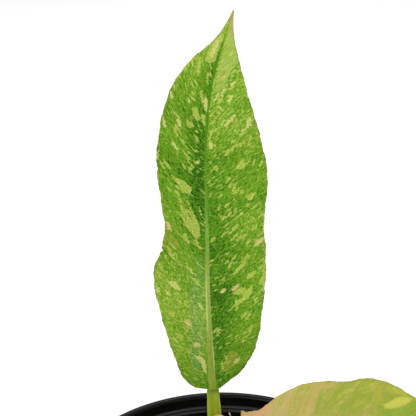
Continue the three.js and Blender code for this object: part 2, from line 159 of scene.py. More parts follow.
RIGHT = {
    "base": (7, -12, 127.2),
    "length": 120,
    "azimuth": [(0, -10), (60, -19), (120, -26)],
    "elevation": [(0, 22), (30, 11), (60, -8), (90, -26), (120, -42)],
    "sway": [(0, 0), (120, 0)],
    "roll": [(0, 6), (120, 6)],
    "fold": [(0, 18), (120, 12)],
    "left": [(0, 2.3), (-1.7, 6.5), (-2.3, 10.4), (-2.1, 12.4), (-0.6, 11.3), (1.5, 10.7), (4, 10.6),
             (6.5, 11.7), (11.5, 14.9), (17.5, 18), (23.7, 19.6), (29.5, 19.4), (36.2, 20.3),
             (41.4, 19.2), (46.3, 16.7), (51, 14.6), (57, 14.2), (65, 15), (74, 16), (84, 15),
             (94, 12), (104, 7.8), (112, 3.9), (117, 1.7), (120, 0.4)],
    "right": [(0, 2.3), (-1.4, 5.5), (1, 9.2), (6, 12), (13, 15), (22, 17.8), (32, 19.4), (42, 19.1),
              (51, 17.2), (58, 16.6), (66, 17.2), (75, 17.4), (85, 15.4), (95, 11.8), (104, 7.8),
              (112, 4), (117, 1.7), (120, 0.4)],
    "left_nicks": [(70, 0.4, 0.5)],
    "right_nicks": [(46, 0.5, 0.5), (88, 0.3, 0.4)],
    "left_wave": {"height": 0.9, "length": 38, "shift": 0},
    "right_wave": {"height": 1.8, "length": 33, "shift": 9},
    "rib": [(0, 1.35), (6, 1.15), (20, 0.8), (60, 0.6), (105, 0.35), (120, 0.15)],
    "rib_depth": [(0, 1.9), (12, 1.2), (60, 0.7), (105, 0.3), (120, 0.1)],
    # Ground tone: 0 peach, then straw, sage and yellow-green, 1 green
    "left_tone": [[(0, 0.1), (12, 0.26), (24, 0.4), (40, 0.56), (60, 0.76), (90, 0.86), (120, 0.6)],
                  [(0, 0), (6, 0.04), (12, 0.3), (20, 0.4), (28, 0.54), (35, 0.58), (42, 0.64),
                   (50, 0.72), (75, 0.76), (95, 0.8), (120, 0.3)]],
    "right_tone": [[(0, 0.12), (14, 0.28), (26, 0.45), (44, 0.62), (64, 0.78), (92, 0.9), (120, 0.6)],
                   [(0, 0.05), (18, 0.14), (30, 0.3), (48, 0.46), (66, 0.66), (90, 0.74), (120, 0.3)]],
}

# Marks on the upright blade. A patch is given by its corners (s, w), and a streak by the (s, w) and
# half width of its start and of its end. The material frays both along the side veins.
PALE_PATCHES = [
    # wedge below the tip
    [(117, -0.9), (114.9, -0.6), (110.7, -0.9), (107.9, -0.8), (107.1, -2.7), (109, -3.7),
     (113.1, -3.2)],
    # two beside the upper midrib, left
    [(93.4, -4.9), (93.7, -3.5), (91.1, -2.3), (90.4, -1.9), (89.9, -2.8), (91.2, -4.5)],
    [(90.3, -6.6), (89.5, -5.2), (88.2, -3.9), (87.5, -5.1), (88.3, -6.1)],
    # kite
    [(73.6, -10.8), (72.4, -9.4), (71.8, -7.5), (70.5, -6.1), (69.2, -4.5), (67.4, -5.1), (67.9, -7.4),
     (69.8, -8.4), (71.9, -9.6)],
    # large wedge, whose fingers are streaks, and two streaks below it
    [(58.1, -7.4), (57.7, -6), (58.8, -4.8), (60.2, -4.1), (59.1, -3.1), (57.8, -2.6), (56.2, -2.3),
     (53.9, -1.9), (53, -2.5), (53.5, -3.7), (55.8, -5.6)],
    [(54.6, -7.7), (54.9, -6.7), (53.6, -6.1), (51.8, -5.3), (51.6, -5.9), (52.9, -7.2)],
    [(52.4, -4.2), (52.7, -3.4), (50.9, -2.4), (49.5, -1.1), (49.2, -1.8), (50.7, -3.4)],
    # left side, from the nick down
    [(50.1, -12.2), (48.7, -11.3), (48.9, -9.7), (47, -11.1), (47.8, -11.7)],
    [(28.5, -12.8), (29.4, -11.8), (28.1, -10.9), (27.2, -11.5)],
    # right side, downwards: slanting and round patches
    [(79.6, 5.7), (81.2, 6.6), (81.8, 7.9), (82.9, 9), (81.3, 8.7), (80.2, 7.2), (79.1, 6.3)],
    [(75.2, 10), (76.5, 10), (78, 11), (78.1, 12.1), (76.2, 12.2), (75.1, 11.2)],
    [(65.9, 12.9), (67.2, 13.1), (68.1, 14.4), (68.2, 15.7), (66.6, 14.7), (65.6, 14)],
    [(67, 8.3), (68.3, 9), (69.6, 10.6), (67.9, 10)],
    [(56, 14.2), (57.6, 15), (58.4, 16.3), (56.6, 15.7)],
    [(52.1, 7.6), (54.5, 9.2), (54.8, 10.1), (53.1, 9.1)],
    [(40, 12.4), (41.4, 13.6), (42.4, 15.5), (41.4, 15.7), (40, 14.4), (39.6, 13.3)],
    [(35, 8.2), (36.3, 9.8), (36.8, 12.3), (35.4, 12), (34.3, 10.3), (34.3, 8.7)],
    [(37.5, 14.7), (35, 14.3), (32.3, 11.8), (30.1, 8.9), (31.4, 8.8), (33, 10.7), (36, 13.1)],
]
CREAM_PATCHES = [
    # brighter middle of the wedge below the tip
    [(115.4, -1.7), (110.5, -1.6), (108.4, -1.9), (109.5, -3), (112.9, -2.5)],
    # left side, downwards
    [(95.6, -1.9), (97.3, -1.2), (95.6, -0.3), (92.6, 0.5), (92.3, -0.5), (93.6, -1.3)],
    [(89.6, -9.6), (90.2, -8.7), (88.6, -7.7), (87.7, -8.5)],
    [(83.2, -10.9), (83.4, -9.9), (81, -8.4), (81.2, -9.3)],
    [(44.1, -6.4), (43.3, -5.5), (41.1, -4.3), (41.5, -5.1)],
    [(39.5, -12.9), (39, -10.2), (37.7, -9.7), (36.2, -8.7), (36, -9.5), (37.6, -11.5)],
    [(36.4, -13.7), (36, -12.7), (34.2, -12), (34.9, -13.2)],
    # bent streak beside the foot of the midrib
    [(13.1, -5.3), (12.9, -3.7), (11.2, -2.2), (9.1, -1.8), (5.8, -1.7), (7, -2.7), (9.7, -3.1)],
    # right side, downwards
    [(96.8, 5.7), (99, 6.3), (99.3, 7.1), (97.8, 6.8), (95.9, 6.3)],
    [(87.5, 10.7), (89, 12.3), (92.6, 12.7), (92.3, 13.3), (89.8, 13.5), (88.4, 12.5)],
    [(88.6, 5), (90.9, 6.7), (92.9, 8.1), (92.7, 8.7), (90.5, 7.4), (88.7, 6)],
    [(82.2, 0.9), (83.5, 1.6), (82.8, 2.1), (81.6, 2.1), (81.2, 1.3)],
    [(50.6, 15), (52.9, 16), (53.5, 17.5), (52.3, 17.5), (50.8, 16.4)],
    [(34.5, 4), (35.6, 4.3), (36.2, 5.7), (35.5, 5.9), (34.5, 4.6)],
]
BLUSH_PATCHES = [
    [(25.5, -8.1), (25.8, -7.1), (24.2, -5.9), (23.3, -5.6), (23.7, -6.9)],
    [(17.1, -5.5), (17.7, -4.9), (17.1, -3.2), (16, -3.3), (16.2, -5)],
    [(35.6, 7.4), (37, 8.9), (38.1, 10.1), (37, 10.1), (35.7, 8.9)],
    [(59.7, -12.8), (58.9, -11.6), (56.2, -11), (56.5, -12.2)],
    [(9.7, 7.4), (10.9, 8), (12.1, 9.8), (9.9, 8.9)],
    [(51, 15.9), (53.2, 16.8), (54.2, 18.4), (52.2, 17.8)],
]
PALE_STREAKS = [
    # left side, downwards
    (107.5, -5.5, 0.4, 103.5, -5, 0.5), (104, -2, 0.3, 101, -1.5, 0.3),
    (98.5, -3, 0.4, 95.5, -1.8, 0.5), (87, -10, 0.3, 85.5, -9, 0.3), (81, -15, 0.3, 78.5, -15, 0.3),
    (80.8, -7, 0.15, 78.2, -5.2, 0.3), (78, -13, 0.2, 75.5, -11.5, 0.3),
    (77.5, -5.5, 0.2, 75.5, -4, 0.2), (77.5, -14, 0.3, 75.5, -13, 0.3),
    (77, -7.5, 0.2, 75.5, -6.5, 0.3), (66, -8.7, 0.2, 65.2, -7.9, 0.4),
    (66, -7.2, 0.1, 64.3, -5.4, 0.2), (63.7, -8.1, 0.2, 58.6, -5.7, 0.35),
    (63, -2.3, 0.15, 61.7, -2, 0.3), (62.8, -6, 0.2, 59.8, -4.3, 0.3), (62.8, -5, 0.2, 60, -3.7, 0.3),
    (62.3, -6.7, 0.2, 58.9, -4.9, 0.3), (62, -8.8, 0.15, 57.9, -6.3, 0.4),
    (61.7, -2, 0.3, 60.5, -1.4, 0.15), (52.4, -11.7, 0.15, 50, -9.9, 0.25),
    (46, -15, 0.3, 43.5, -14.5, 0.4), (42.5, -16, 0.3, 40.5, -15, 0.3), (40, -5, 0.3, 38.5, -3.5, 0.3),
    (35, -7, 0.2, 34, -6.5, 0.3), (33, -10, 0.3, 31.5, -9, 0.3), (23.5, -8.5, 0.2, 22, -7, 0.3),
    (21.5, -10.5, 0.4, 20.5, -9, 0.3),
    # right side, downwards
    (91.5, 1, 0.3, 93, 2, 0.2), (89, 1.5, 0.3, 90, 2.5, 0.3), (86.5, 1.5, 0.4, 87.5, 3, 0.5),
    (82.5, 9, 0.3, 84, 12, 0.2), (78, 17.5, 0.3, 76.5, 17, 0.4), (69.5, 7.5, 0.3, 70.5, 8, 0.3),
    (68.5, 8.5, 0.4, 69.5, 9, 0.4), (66, 4, 0.3, 67, 5, 0.3), (63.5, 6, 0.4, 64.5, 7.5, 0.3),
    (62, 4, 0.2, 64, 4.5, 0.2), (60.5, 14.5, 0.4, 60, 15, 0.4), (60.5, 4, 0.3, 59.5, 5, 0.3),
    (60, 8, 0.2, 61, 9, 0.2), (60, 6.5, 0.2, 61.5, 8, 0.3), (59, 5, 0.3, 60, 6, 0.3),
    (56, 18, 0.3, 62, 18.2, 0.3), (54.5, 7.5, 0.2, 57.5, 10, 0.3), (53.5, 5, 0.3, 55, 6, 0.3),
    (53, 11.5, 0.3, 54.5, 12.5, 0.4), (52.5, 10, 0.3, 54, 11, 0.3), (52, 1.8, 0.4, 53, 2.5, 0.4),
    (45, 11.5, 0.2, 47.5, 13, 0.3), (44.5, 6, 0.3, 45.5, 7, 0.3), (43, 7, 0.3, 45, 8, 0.3),
    (41, 8.5, 0.4, 45, 12.5, 0.4), (38, 17, 0.5, 39.5, 17.5, 0.5), (36, 18, 0.4, 46, 18.4, 0.3),
    (26.5, 10.5, 0.3, 28.5, 12.5, 0.3), (26, 12, 0.3, 28, 13.5, 0.3), (22, 13, 0.3, 24, 14, 0.3),
    (21, 1.5, 0.3, 22.5, 3, 0.2), (13.4, 6.4, 0.1, 14.6, 7.6, 0.2), (12.5, 4.6, 0.2, 11.3, 5.2, 0.25),
    (9.8, 3.6, 0.3, 7.6, 3.9, 0.25),
]
CREAM_STREAKS = [
    # left side, downwards
    (97, -12, 0.3, 96, -11.5, 0.4), (96, -6.5, 0.3, 95, -6, 0.3), (90, -13.5, 0.3, 88, -13, 0.4),
    (77.5, -3, 0.3, 77, -2.5, 0.3), (38, -16.5, 0.3, 36, -16, 0.4), (31, -3, 0.3, 29, -1.7, 0.2),
    # right side, downwards
    (104, 3.4, 0.2, 103.2, 3.2, 0.2), (102, 6, 0.3, 103, 6.5, 0.4), (102, 4.6, 0.2, 100.6, 4.2, 0.2),
    (100.5, 4.5, 0.2, 99, 3.5, 0.2), (98.4, 4, 0.2, 97.4, 3.6, 0.2), (96, 1.5, 0.2, 98.5, 2.5, 0.3),
    (94.6, 3, 0.2, 93.8, 4.4, 0.2),
]
# Lime sector between the midrib's upper end and the right margin
LIME_SECTORS = [
    [(119, -0.4), (119.4, 0.8), (115.9, 3), (110.7, 6.3), (108.2, 5.7), (106, 4.5), (101.7, 4.1),
     (98.7, 2.5), (99.4, 1.3), (105.9, 0.9), (109, 0.8), (112.9, 0.7), (116.7, 0.1)],
]
# Broad zones: olive, and a greyish painted sheen left of the midrib
OLIVE_ZONES = [
    (51, -10, 1.2, 54, -12, 1.2), (62, -6.5, 0.8, 65, -8, 0.8), (7.4, 4.5, 0.9, 12.4, 7.2, 1.8),
]
PAINTED_SHEEN_ZONES = [
    (46, -2.5, 0.8, 33, -3.8, 2), (33, -3.8, 2, 18, -4, 2), (18, -4, 2, 9, -5, 1.6),
]
UPRIGHT_MARKS = {
    "pale": (PALE_PATCHES, PALE_STREAKS), "cream": (CREAM_PATCHES, CREAM_STREAKS),
    "blush": (BLUSH_PATCHES, []), "sector": (LIME_SECTORS, []), "olive": ([], OLIVE_ZONES),
    "sheen_and_pink": ([], PAINTED_SHEEN_ZONES),
}

# Marks on the right blade. Beyond the photo's edge they are of the same kinds.
PEACH_PALE_PATCHES = [
    [(42.8, -9.3), (43, -10.6), (45, -12.9), (46.6, -13.7), (48.8, -14.1), (49.8, -13.8), (49.2, -12.6),
     (48, -11.4), (46.2, -10.2), (44.5, -9.4)],
    [(59.8, -5.4), (63, -7.6), (66.8, -9.3), (68.9, -11.6), (66.2, -11.2), (64.5, -9.7), (62.1, -8.6)],
    [(33.6, 5.7), (37.2, 8.6), (39.8, 10.6), (42.6, 14.6), (40.1, 12.9), (37.7, 11.6), (35.3, 8.6)],
]
PEACH_PALE_STREAKS = [
    (41.2, -10.8, 0, 43.2, -10.2, 0.4), (68, -3, 0.05, 72.6, -7.4, 0.25), (69.6, -3.9, 0, 72, -6, 0.2),
    (84, -4, 0.1, 88.8, -9.4, 0.35), (86.4, -5.4, 0, 89.4, -8.4, 0.2),
    (72.4, 5.3, 0.1, 78.6, 10.7, 0.4), (74.3, 5.4, 0, 77.9, 8.6, 0.25), (54, 4, 0.1, 58.8, 8.6, 0.35),
    (55.6, 4.2, 0, 58.1, 6.4, 0.2), (26, 5, 0.1, 31.6, 10.6, 0.3), (28.3, 5.7, 0, 31.2, 8.4, 0.2),
    (90, 3, 0.05, 94.4, 6.3, 0.25), (46.8, 4.4, 0, 49.9, 7.5, 0.25), (62.9, 3.2, 0, 66, 5.9, 0.2),
    (97.7, -2.1, 0, 101, -4.9, 0.2), (79.4, 3, 0, 82.4, 5.2, 0.2),
]
PEACH_LIGHT_STREAKS = [
    # from the tip of the left lobe towards the pale patch
    (16.1, -14.1, 0.15, 16.3, -10.1, 0.15), (19.8, -9, 0.2, 19.1, -6.6, 0.3),
    (25.1, -11.4, 0.1, 26.4, -13.8, 0.2), (28.2, -9.3, 0.1, 30, -11.3, 0.25),
    (30.5, -12.5, 0.05, 31.5, -13.6, 0.15), (28.3, -12, 0.1, 29.8, -14.3, 0.25),
    (29.8, -14.3, 0.25, 31.3, -16.2, 0.2), (32.7, -17.2, 0.1, 34.1, -18.3, 0.3),
    (33.5, -9, 0, 36, -11, 0.2), (35.5, -14.4, 0.1, 38.3, -15.8, 0.2), (36, -8, 0, 38.5, -10, 0.15),
    (28.6, -13.4, 0.1, 32.6, -15.9, 0.6), (34.4, -15.6, 0.1, 38.3, -17.3, 0.5),
    (36, -17.9, 0.1, 40, -18.3, 0.3), (42.2, -17.1, 0.15, 48, -15.6, 0.15),
    (44, -15.6, 0.1, 47.6, -14.8, 0.2), (42.5, -15.6, 0.1, 44, -15.1, 0.2),
    # beyond the photo's edge
    (80, -8, 0.1, 83, -12, 0.3), (104, -2, 0.1, 107, -4, 0.3), (67, -2.8, 0.1, 73, -8.6, 0.5),
    (83, -3, 0.1, 90, -10, 0.6), (71, 4, 0.1, 80, 12, 0.7), (53, 3, 0.1, 60, 10, 0.6),
    (25, 4, 0.1, 33, 12, 0.6), (89, 2, 0.1, 96, 7.6, 0.5), (45.6, 3.2, 0.1, 51, 8.9, 0.4),
    (61, 2, 0.1, 67.6, 7.5, 0.4),
]
PEACH_BLUSH_STREAKS = [
    (23.3, -18, 0.9, 20.7, -13, 0.8), (20.7, -13, 0.8, 19.3, -6.6, 0.7),
    (21.8, -17.7, 0.4, 18.8, -13.1, 0.5), (18.8, -13.1, 0.5, 16.9, -6.8, 0.5),
    (23, -17.4, 0.8, 27.4, -17.8, 0.6), (38.9, -18, 0.05, 39.1, -15.8, 0.15),
    (16, 10, 1.2, 24, 15, 1.5), (48, 12, 0.8, 54, 15, 0.9),
]
GREEN_SECTORS = [
    [(42, -8), (45.4, -9), (48.3, -10.8), (51, -13.5), (53.5, -9), (50, -5), (42, -6.5)],
    [(24.4, -14.8), (23.5, -11), (23, -6.5), (21.5, -6.3), (22.1, -10.6), (23.1, -14.4)],
    [(40.2, -9.2), (40.6, -12), (42.2, -11.6), (42.4, -9.2)],
    [(29.8, -7.5), (30.3, -10), (31.6, -10), (31.4, -7.5)],
    [(56, -14), (60, -8), (68, -5), (70, -11), (64, -14)],
    [(44, 3), (50, 7), (55, 12), (49, 10)],
    [(74, -3), (82, -7), (87, -11), (78, -8)],
    [(90, 1), (97, 4), (102, 7), (94, 5)],
]
STRAW_ZONES = [
    (40.3, -17, 0.6, 40.6, -11.5, 0.8), (43, -16.6, 0.6, 47.5, -15.2, 0.8), (62, 6, 1.5, 70, 12, 2),
]
PINK_ZONES = [
    (0, -8, 2.5, 5, -9, 2.2), (3, 5, 2.5, 12, 10, 3.0),
]
RIGHT_MARKS = {
    "pale": ([], PEACH_LIGHT_STREAKS), "cream": (PEACH_PALE_PATCHES, PEACH_PALE_STREAKS),
    "blush": ([], PEACH_BLUSH_STREAKS), "sector": (GREEN_SECTORS, []), "olive": ([], STRAW_ZONES),
    "sheen_and_pink": ([], PINK_ZONES),
}

# Stalks, from the top of the stem to the blade
STALK_HALF_WIDTH = 2.35
STALK_HALF_DEPTH = 1.9
STALK_TURN = 0.45
STALK_INTO_BLADE = 1.6
STALK_BASE_UPRIGHT = (-2.3, 2.5, 94.4)
STALK_BASE_RIGHT = (4, -0.7, 94.4)

# Rolled new leaf
NEW_LEAF_BASE = (-0.8, -3.3, 94.4)
NEW_LEAF_TIP = (-2.1, -1.6, 129.3)
NEW_LEAF_RADIUS = 2.7
NEW_LEAF_LENGTH = 35.4
NEW_LEAF_TONE_REACH = 36

# Dry sheath
SHEATH_REACH = 0.78
SHEATH_FOOT = 0.01
SHEATH_THICKNESS = 0.3
SHEATH_ROWS = 150
SHEATH_COLUMNS = 60

# Studio floor, in metres
FLOOR_HALF = 6


def add_object(name, data):
    thing = bpy.data.objects.new(name, data)
    scene.collection.objects.link(thing)
    return thing


def make_camera():
    camera = add_object("camera", bpy.data.cameras.new("camera"))
    camera.location = [value * MM for value in CAMERA_PLACE]
    camera.rotation_euler = (math.radians(90 - CAMERA_PITCH), 0, 0)
    camera.data.sensor_width = SENSOR_WIDTH
    camera.data.lens = FOCAL_PIXELS * SENSOR_WIDTH / IMAGE_PIXELS
    camera.data.clip_start = 0.01
    scene.camera = camera


make_camera()


# Shapes

def smooth(points, x):
    """A smooth curve through (x, y) points, with its slopes taken from the neighbours."""
    xs, ys = np.array(points, float).T
    at = np.clip(x, xs[0], xs[-1])
    i = np.clip(np.searchsorted(xs, at, side="right") - 1, 0, len(xs) - 2)
    widths = np.diff(xs)
    steps = np.diff(ys) / widths
    inner = (steps[:-1] * widths[1:] + steps[1:] * widths[:-1]) / (widths[:-1] + widths[1:])
    slopes = np.concatenate([steps[:1], inner, steps[-1:]])
    h = widths[i]
    t = (at - xs[i]) / h
    return ((2 * t**3 - 3 * t**2 + 1) * ys[i] + (t**3 - 2 * t**2 + t) * h * slopes[i]
            + (3 * t**2 - 2 * t**3) * ys[i + 1] + (t**3 - t**2) * h * slopes[i + 1])


def ease(low, high, x):
    """0 below low, 1 above high, with a soft step between."""
    t = np.clip((x - low) / (high - low), 0, 1)
    return t * t * (3 - 2 * t)


def midrib(leaf):
    """Returns a function that gives the midrib's place and its forward, side and upper directions."""
    count = round(leaf["length"] / MIDRIB_STEP)
    stations = np.arange(count + 1) * MIDRIB_STEP
    turn, rise, sway, roll = (np.radians(smooth(leaf[name], stations))
                              for name in ("azimuth", "elevation", "sway", "roll"))
    level = np.zeros_like(turn)
    straight = np.stack([np.cos(rise) * np.cos(turn), np.cos(rise) * np.sin(turn), np.sin(rise)], 1)
    flat_up = np.stack([-np.sin(rise) * np.cos(turn), -np.sin(rise) * np.sin(turn), np.cos(rise)], 1)
    flat_side = np.stack([np.sin(turn), -np.cos(turn), level], 1)
    cos_sway, sin_sway = np.cos(sway)[:, None], np.sin(sway)[:, None]
    cos_roll, sin_roll = np.cos(roll)[:, None], np.sin(roll)[:, None]
    along = straight * cos_sway + flat_side * sin_sway
    swayed = flat_side * cos_sway - straight * sin_sway
    side = swayed * cos_roll - flat_up * sin_roll
    up = flat_up * cos_roll + swayed * sin_roll
    moves = np.cumsum((along[1:] + along[:-1]) * MIDRIB_STEP / 2, axis=0)
    place = np.array(leaf["base"], float) + np.vstack([np.zeros(3), moves])

    def at(s):
        s = np.asarray(s, float)
        mixed = [np.stack([np.interp(s, stations, part[:, axis]) for axis in range(3)], -1)
                 for part in (place, along, side, up)]
        beyond = s - np.clip(s, 0, stations[-1])
        mixed[0] = mixed[0] + mixed[1] * beyond[..., None]
        return mixed

    return at


def margin(outline):
    """The margin's s and w by the share t of its length from stalk to tip, and that length."""
    points = np.array(outline, float)
    run = np.concatenate([[0], np.cumsum(np.hypot(*np.diff(points, axis=0).T))])

    def at(t):
        along_s = smooth(np.column_stack([run, points[:, 0]]), t * run[-1])
        along_w = smooth(np.column_stack([run, points[:, 1]]), t * run[-1])
        return along_s, along_w

    return at, run[-1]


def segment(s, w, s1, w1, s2, w2):
    """Where each point lies along a segment, from 0 to 1, and its distance from it."""
    reach = (s2 - s1)**2 + (w2 - w1)**2
    t = np.clip(((s - s1) * (s2 - s1) + (w - w1) * (w2 - w1)) / reach, 0, 1)
    return t, np.hypot(s - s1 - t * (s2 - s1), w - w1 - t * (w2 - w1))


def mark_field(s, w, patches, streaks):
    """Distance in millimetres inside the edge of the nearest patch or streak, negative outside."""
    field = np.full(s.shape, MARK_FLOOR)
    for corners in patches:
        nearest = np.full(s.shape, FAR)
        inside = np.zeros(s.shape, bool)
        for (s1, w1), (s2, w2) in zip(corners, corners[1:] + corners[:1]):
            nearest = np.minimum(nearest, segment(s, w, s1, w1, s2, w2)[1])
            if w1 != w2:
                inside ^= ((w1 > w) != (w2 > w)) & (s < s1 + (w - w1) * (s2 - s1) / (w2 - w1))
        field = np.maximum(field, np.where(inside, nearest, -nearest))
    for s1, w1, half1, s2, w2, half2 in streaks:
        t, distance = segment(s, w, s1, w1, s2, w2)
        field = np.maximum(field, half1 + t * (half2 - half1) - distance)
    return field


def edge_distance(s, w, at):
    """Distance in the leaf's plane from each point to the margin of its own half."""
    nearest = np.full(s.shape, FAR)
    for rim_s, rim_w in zip(*at(np.linspace(0, 1, MARGIN_SAMPLES))):
        nearest = np.minimum(nearest, np.hypot(s - rim_s, w - rim_w))
    return nearest


def half_grid(leaf, name, t, margin_at):
    """A half's points in the leaf's plane as s, w and their share v of the way to the margin. Then
    come three values by row: the margin's w, where the row leaves the midrib, and that rib's width."""
    sign = -1 if name == "left" else 1
    margin_s, margin_w = (values[:, None] for values in margin_at(t))
    ripple = 0.10 * np.sin(91 * t + sign) + 0.07 * np.sin(207 * t + 2.1 * sign) + 0.05 * np.sin(463 * t)
    margin_w = margin_w + ripple[:, None] * ease(2, 6, margin_w)
    for nick_s, nick_depth, nick_width in leaf[name + "_nicks"]:
        margin_w = margin_w - nick_depth * np.exp(-((margin_s - nick_s) / nick_width)**2)
    root = (leaf["length"] * smooth(VEIN_ROOTS, t))[:, None]
    rib_width = smooth(leaf["rib"], root)
    rib_share = np.minimum(0.5, 1.3 * rib_width / margin_w)
    inner = np.arange(RIB_COLUMNS) / RIB_COLUMNS
    outer = np.linspace(0, 1, HALF_COLUMNS - RIB_COLUMNS + 1)
    v = np.hstack([rib_share * inner, rib_share + (1 - rib_share) * outer])
    s = root + (margin_s - root) * v * (1 - VEIN_BEND + VEIN_BEND * v)
    return s, margin_w * v, v, margin_w, root, rib_width


def blade_half(leaf, name, t, marks):
    """One half of a blade: the grids of its upper and lower points, and what its material reads."""
    sign = -1 if name == "left" else 1
    margin_at, run = margin(leaf[name])
    s, w, v, margin_w, root, rib_width = half_grid(leaf, name, t, margin_at)
    fold = np.radians(smooth(leaf["fold"], s))
    wave = leaf[name + "_wave"]
    lift = (wave["height"] * v**2 * np.minimum(1, margin_w / 12)
            * np.sin(2 * np.pi * (s - wave["shift"]) / wave["length"]))
    vein = np.broadcast_to(t[:, None] * run, s.shape) + (0 if sign < 0 else RIGHT_HALF_START)
    furrow = np.cos(2 * np.pi * vein / SIDE_VEIN_GAP)
    lift = lift + SIDE_VEIN_DEPTH * furrow * ease(0.05, 0.3, v) * ease(1, 0.7, v)
    across = w / np.maximum(rib_width, 0.05)
    crest = np.cos(np.pi / 2 * np.clip(across / 1.2, 0, 1))**2
    depth = smooth(leaf["rib_depth"], root)
    edge = edge_distance(s, w, margin_at)
    half = BLADE_THICKNESS / 2 * (0.45 + 0.55 * ease(0, 0.8, edge))
    place, _, side, up = midrib(leaf)(s)
    fold, lift, w3 = fold[..., None], lift[..., None], w[..., None]
    middle = place + side * sign * w3 * np.cos(fold) + up * (w3 * np.sin(fold) + lift)
    normal = up * np.cos(fold) - side * sign * np.sin(fold) * np.minimum(1, v * 20)[..., None]
    upper = middle + normal * (half + 0.3 * depth * crest)[..., None]
    lower = middle - normal * (half + depth * crest)[..., None]
    # The tone curves give the ground's colour. On the upright blade they also give painted shade of its
    # fold beside the midrib.
    tones = [smooth(points, s) for points in leaf[name + "_tone"]]
    tone = tones[0] + (tones[1] - tones[0]) * ease(0.15, 0.75, v)
    tip = ease(leaf["length"] - 5, leaf["length"] - 1.5, s + 3.5 * np.clip(sign * w, -1, 1))
    fields = {"vein": vein, "across": sign * w, "along": s, "edge": edge, "rib": sign * across,
              "tone": tone, "tip": tip}
    for kind, (patches, streaks) in marks.items():
        fields[kind] = mark_field(s, sign * w, patches, streaks)
    return upper, lower, fields


def joined_halves(left, right):
    """The left half's columns from its margin inwards, then the right half's outwards."""
    return np.concatenate([left[:, :0:-1], right], axis=1)


def grid_faces(rows, columns, offset, flipped):
    corner = offset + np.arange(rows)[:, None] * (columns + 1) + np.arange(columns)
    quads = np.stack([corner, corner + 1, corner + columns + 2, corner + columns + 1], -1).reshape(-1, 4)
    return quads[:, ::-1] if flipped else quads


def plate_faces(rows, columns):
    """Faces of a closed plate whose upper grid of points comes first and its lower grid second."""
    size = (rows + 1) * (columns + 1)
    ring = ([(0, c) for c in range(columns)] + [(r, columns) for r in range(rows)]
            + [(rows, c) for c in range(columns, 0, -1)] + [(r, 0) for r in range(rows, 0, -1)])
    border = np.array([r * (columns + 1) + c for r, c in ring])
    after = np.roll(border, -1)
    walls = np.stack([border + size, after + size, after, border], 1)
    return np.vstack([grid_faces(rows, columns, 0, False), grid_faces(rows, columns, size, True), walls])


def mesh_from(name, points, faces, fields=None):
    """A smooth mesh from points in millimetres. fields are numbers kept on its points."""
    mesh = bpy.data.meshes.new(name)
    mesh.from_pydata((np.asarray(points, float) * MM).tolist(), [], [list(face) for face in faces])
    for field, values in (fields or {}).items():
        attribute = mesh.attributes.new(field, "FLOAT", "POINT")
        attribute.data.foreach_set("value", np.asarray(values, np.float32).ravel())
    mesh.shade_smooth()
    return mesh


def add_piece(name, mesh, material, node=None):
    """Puts a finished mesh into the scene, on the root body."""
    piece = add_object(name, mesh)
    if material:
        mesh.materials.clear()
        mesh.materials.append(material)
    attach(piece, "root")
    if node:
        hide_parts(node)


def blade_mesh(name, leaf, marks):
    """A closed blade of two halves. Each of its points says whether it lies on the upper side."""
    t = np.linspace(0, 1, BLADE_ROWS + 1)
    left = blade_half(leaf, "left", t, marks)
    right = blade_half(leaf, "right", t, marks)
    upper = joined_halves(left[0], right[0])
    lower = joined_halves(left[1], right[1])
    fields = {key: joined_halves(left[2][key], right[2][key]) for key in left[2]}
    rows, columns = upper.shape[0] - 1, upper.shape[1] - 1
    points = np.vstack([upper.reshape(-1, 3), lower.reshape(-1, 3)])
    both = {key: np.concatenate([values.ravel()] * 2) for key, values in fields.items()}
    both["upper"] = np.repeat([1.0, 0.0], upper.shape[0] * upper.shape[1])
    return mesh_from(name, points, plate_faces(rows, columns), both)


def unit(vectors):
    return vectors / np.linalg.norm(vectors, axis=-1, keepdims=True)


def turned(radius, turn, height):
    """Points from their distance from Z, their angle round it and their height."""
    return np.stack(np.broadcast_arrays(radius * np.cos(turn), radius * np.sin(turn), height), -1)


def ring_faces(rings, sides):
    """Faces of a closed skin made of rings of points, with its foot's and its top's middle last."""
    ring = np.arange(sides)
    after = np.roll(ring, -1)
    faces = []
    for low in range(0, (rings - 1) * sides, sides):
        high = low + sides
        faces += np.stack([low + ring, low + after, high + after, high + ring], 1).tolist()
    foot, top, last = rings * sides, rings * sides + 1, (rings - 1) * sides
    faces += [[foot, b, a] for a, b in zip(ring.tolist(), after.tolist())]
    faces += [[top, last + a, last + b] for a, b in zip(ring.tolist(), after.tolist())]
    return faces


def tube_mesh(name, place, fields, sides, steps):
    """A closed tube. place and fields take shares t along it and angles turn round it."""
    shares, angles = np.linspace(0, 1, steps + 1), np.arange(sides) / sides * 2 * np.pi
    t, turn = np.meshgrid(shares, angles, indexing="ij")
    skin = place(t, turn)
    points = np.vstack([skin.reshape(-1, 3), skin[0].mean(axis=0), skin[-1].mean(axis=0)])
    kept = {}
    for key, values in fields(t, turn).items():
        kept[key] = np.concatenate([values.ravel(), [values[0].mean(), values[-1].mean()]])
    return mesh_from(name, points, ring_faces(steps + 1, sides), kept)


def rounded(profile, radius):
    """A profile with each of its inner corners cut round."""
    points = [np.array(point, float) for point in profile]
    result = [points[0]]
    for before, corner, after in zip(points, points[1:], points[2:]):
        start, end = (corner + unit(side - corner) * min(radius, 0.4 * np.linalg.norm(side - corner))
                      for side in (before, after))
        for share in (0, 0.33, 0.67, 1):
            result.append((1 - share)**2 * start + 2 * share * (1 - share) * corner + share**2 * end)
    return result + [points[-1]]


def turned_mesh(name, profile, sides):
    """A closed mesh from a profile of (radius, height) turned about Z, with its ends on the axis."""
    body = np.array(profile[1:-1])
    rings = turned(body[:, :1], np.arange(sides) / sides * 2 * np.pi, body[:, 1:])
    ends = [[0, 0, profile[0][1]], [0, 0, profile[-1][1]]]
    return mesh_from(name, np.vstack([rings.reshape(-1, 3), ends]), ring_faces(len(body), sides))


# Material building

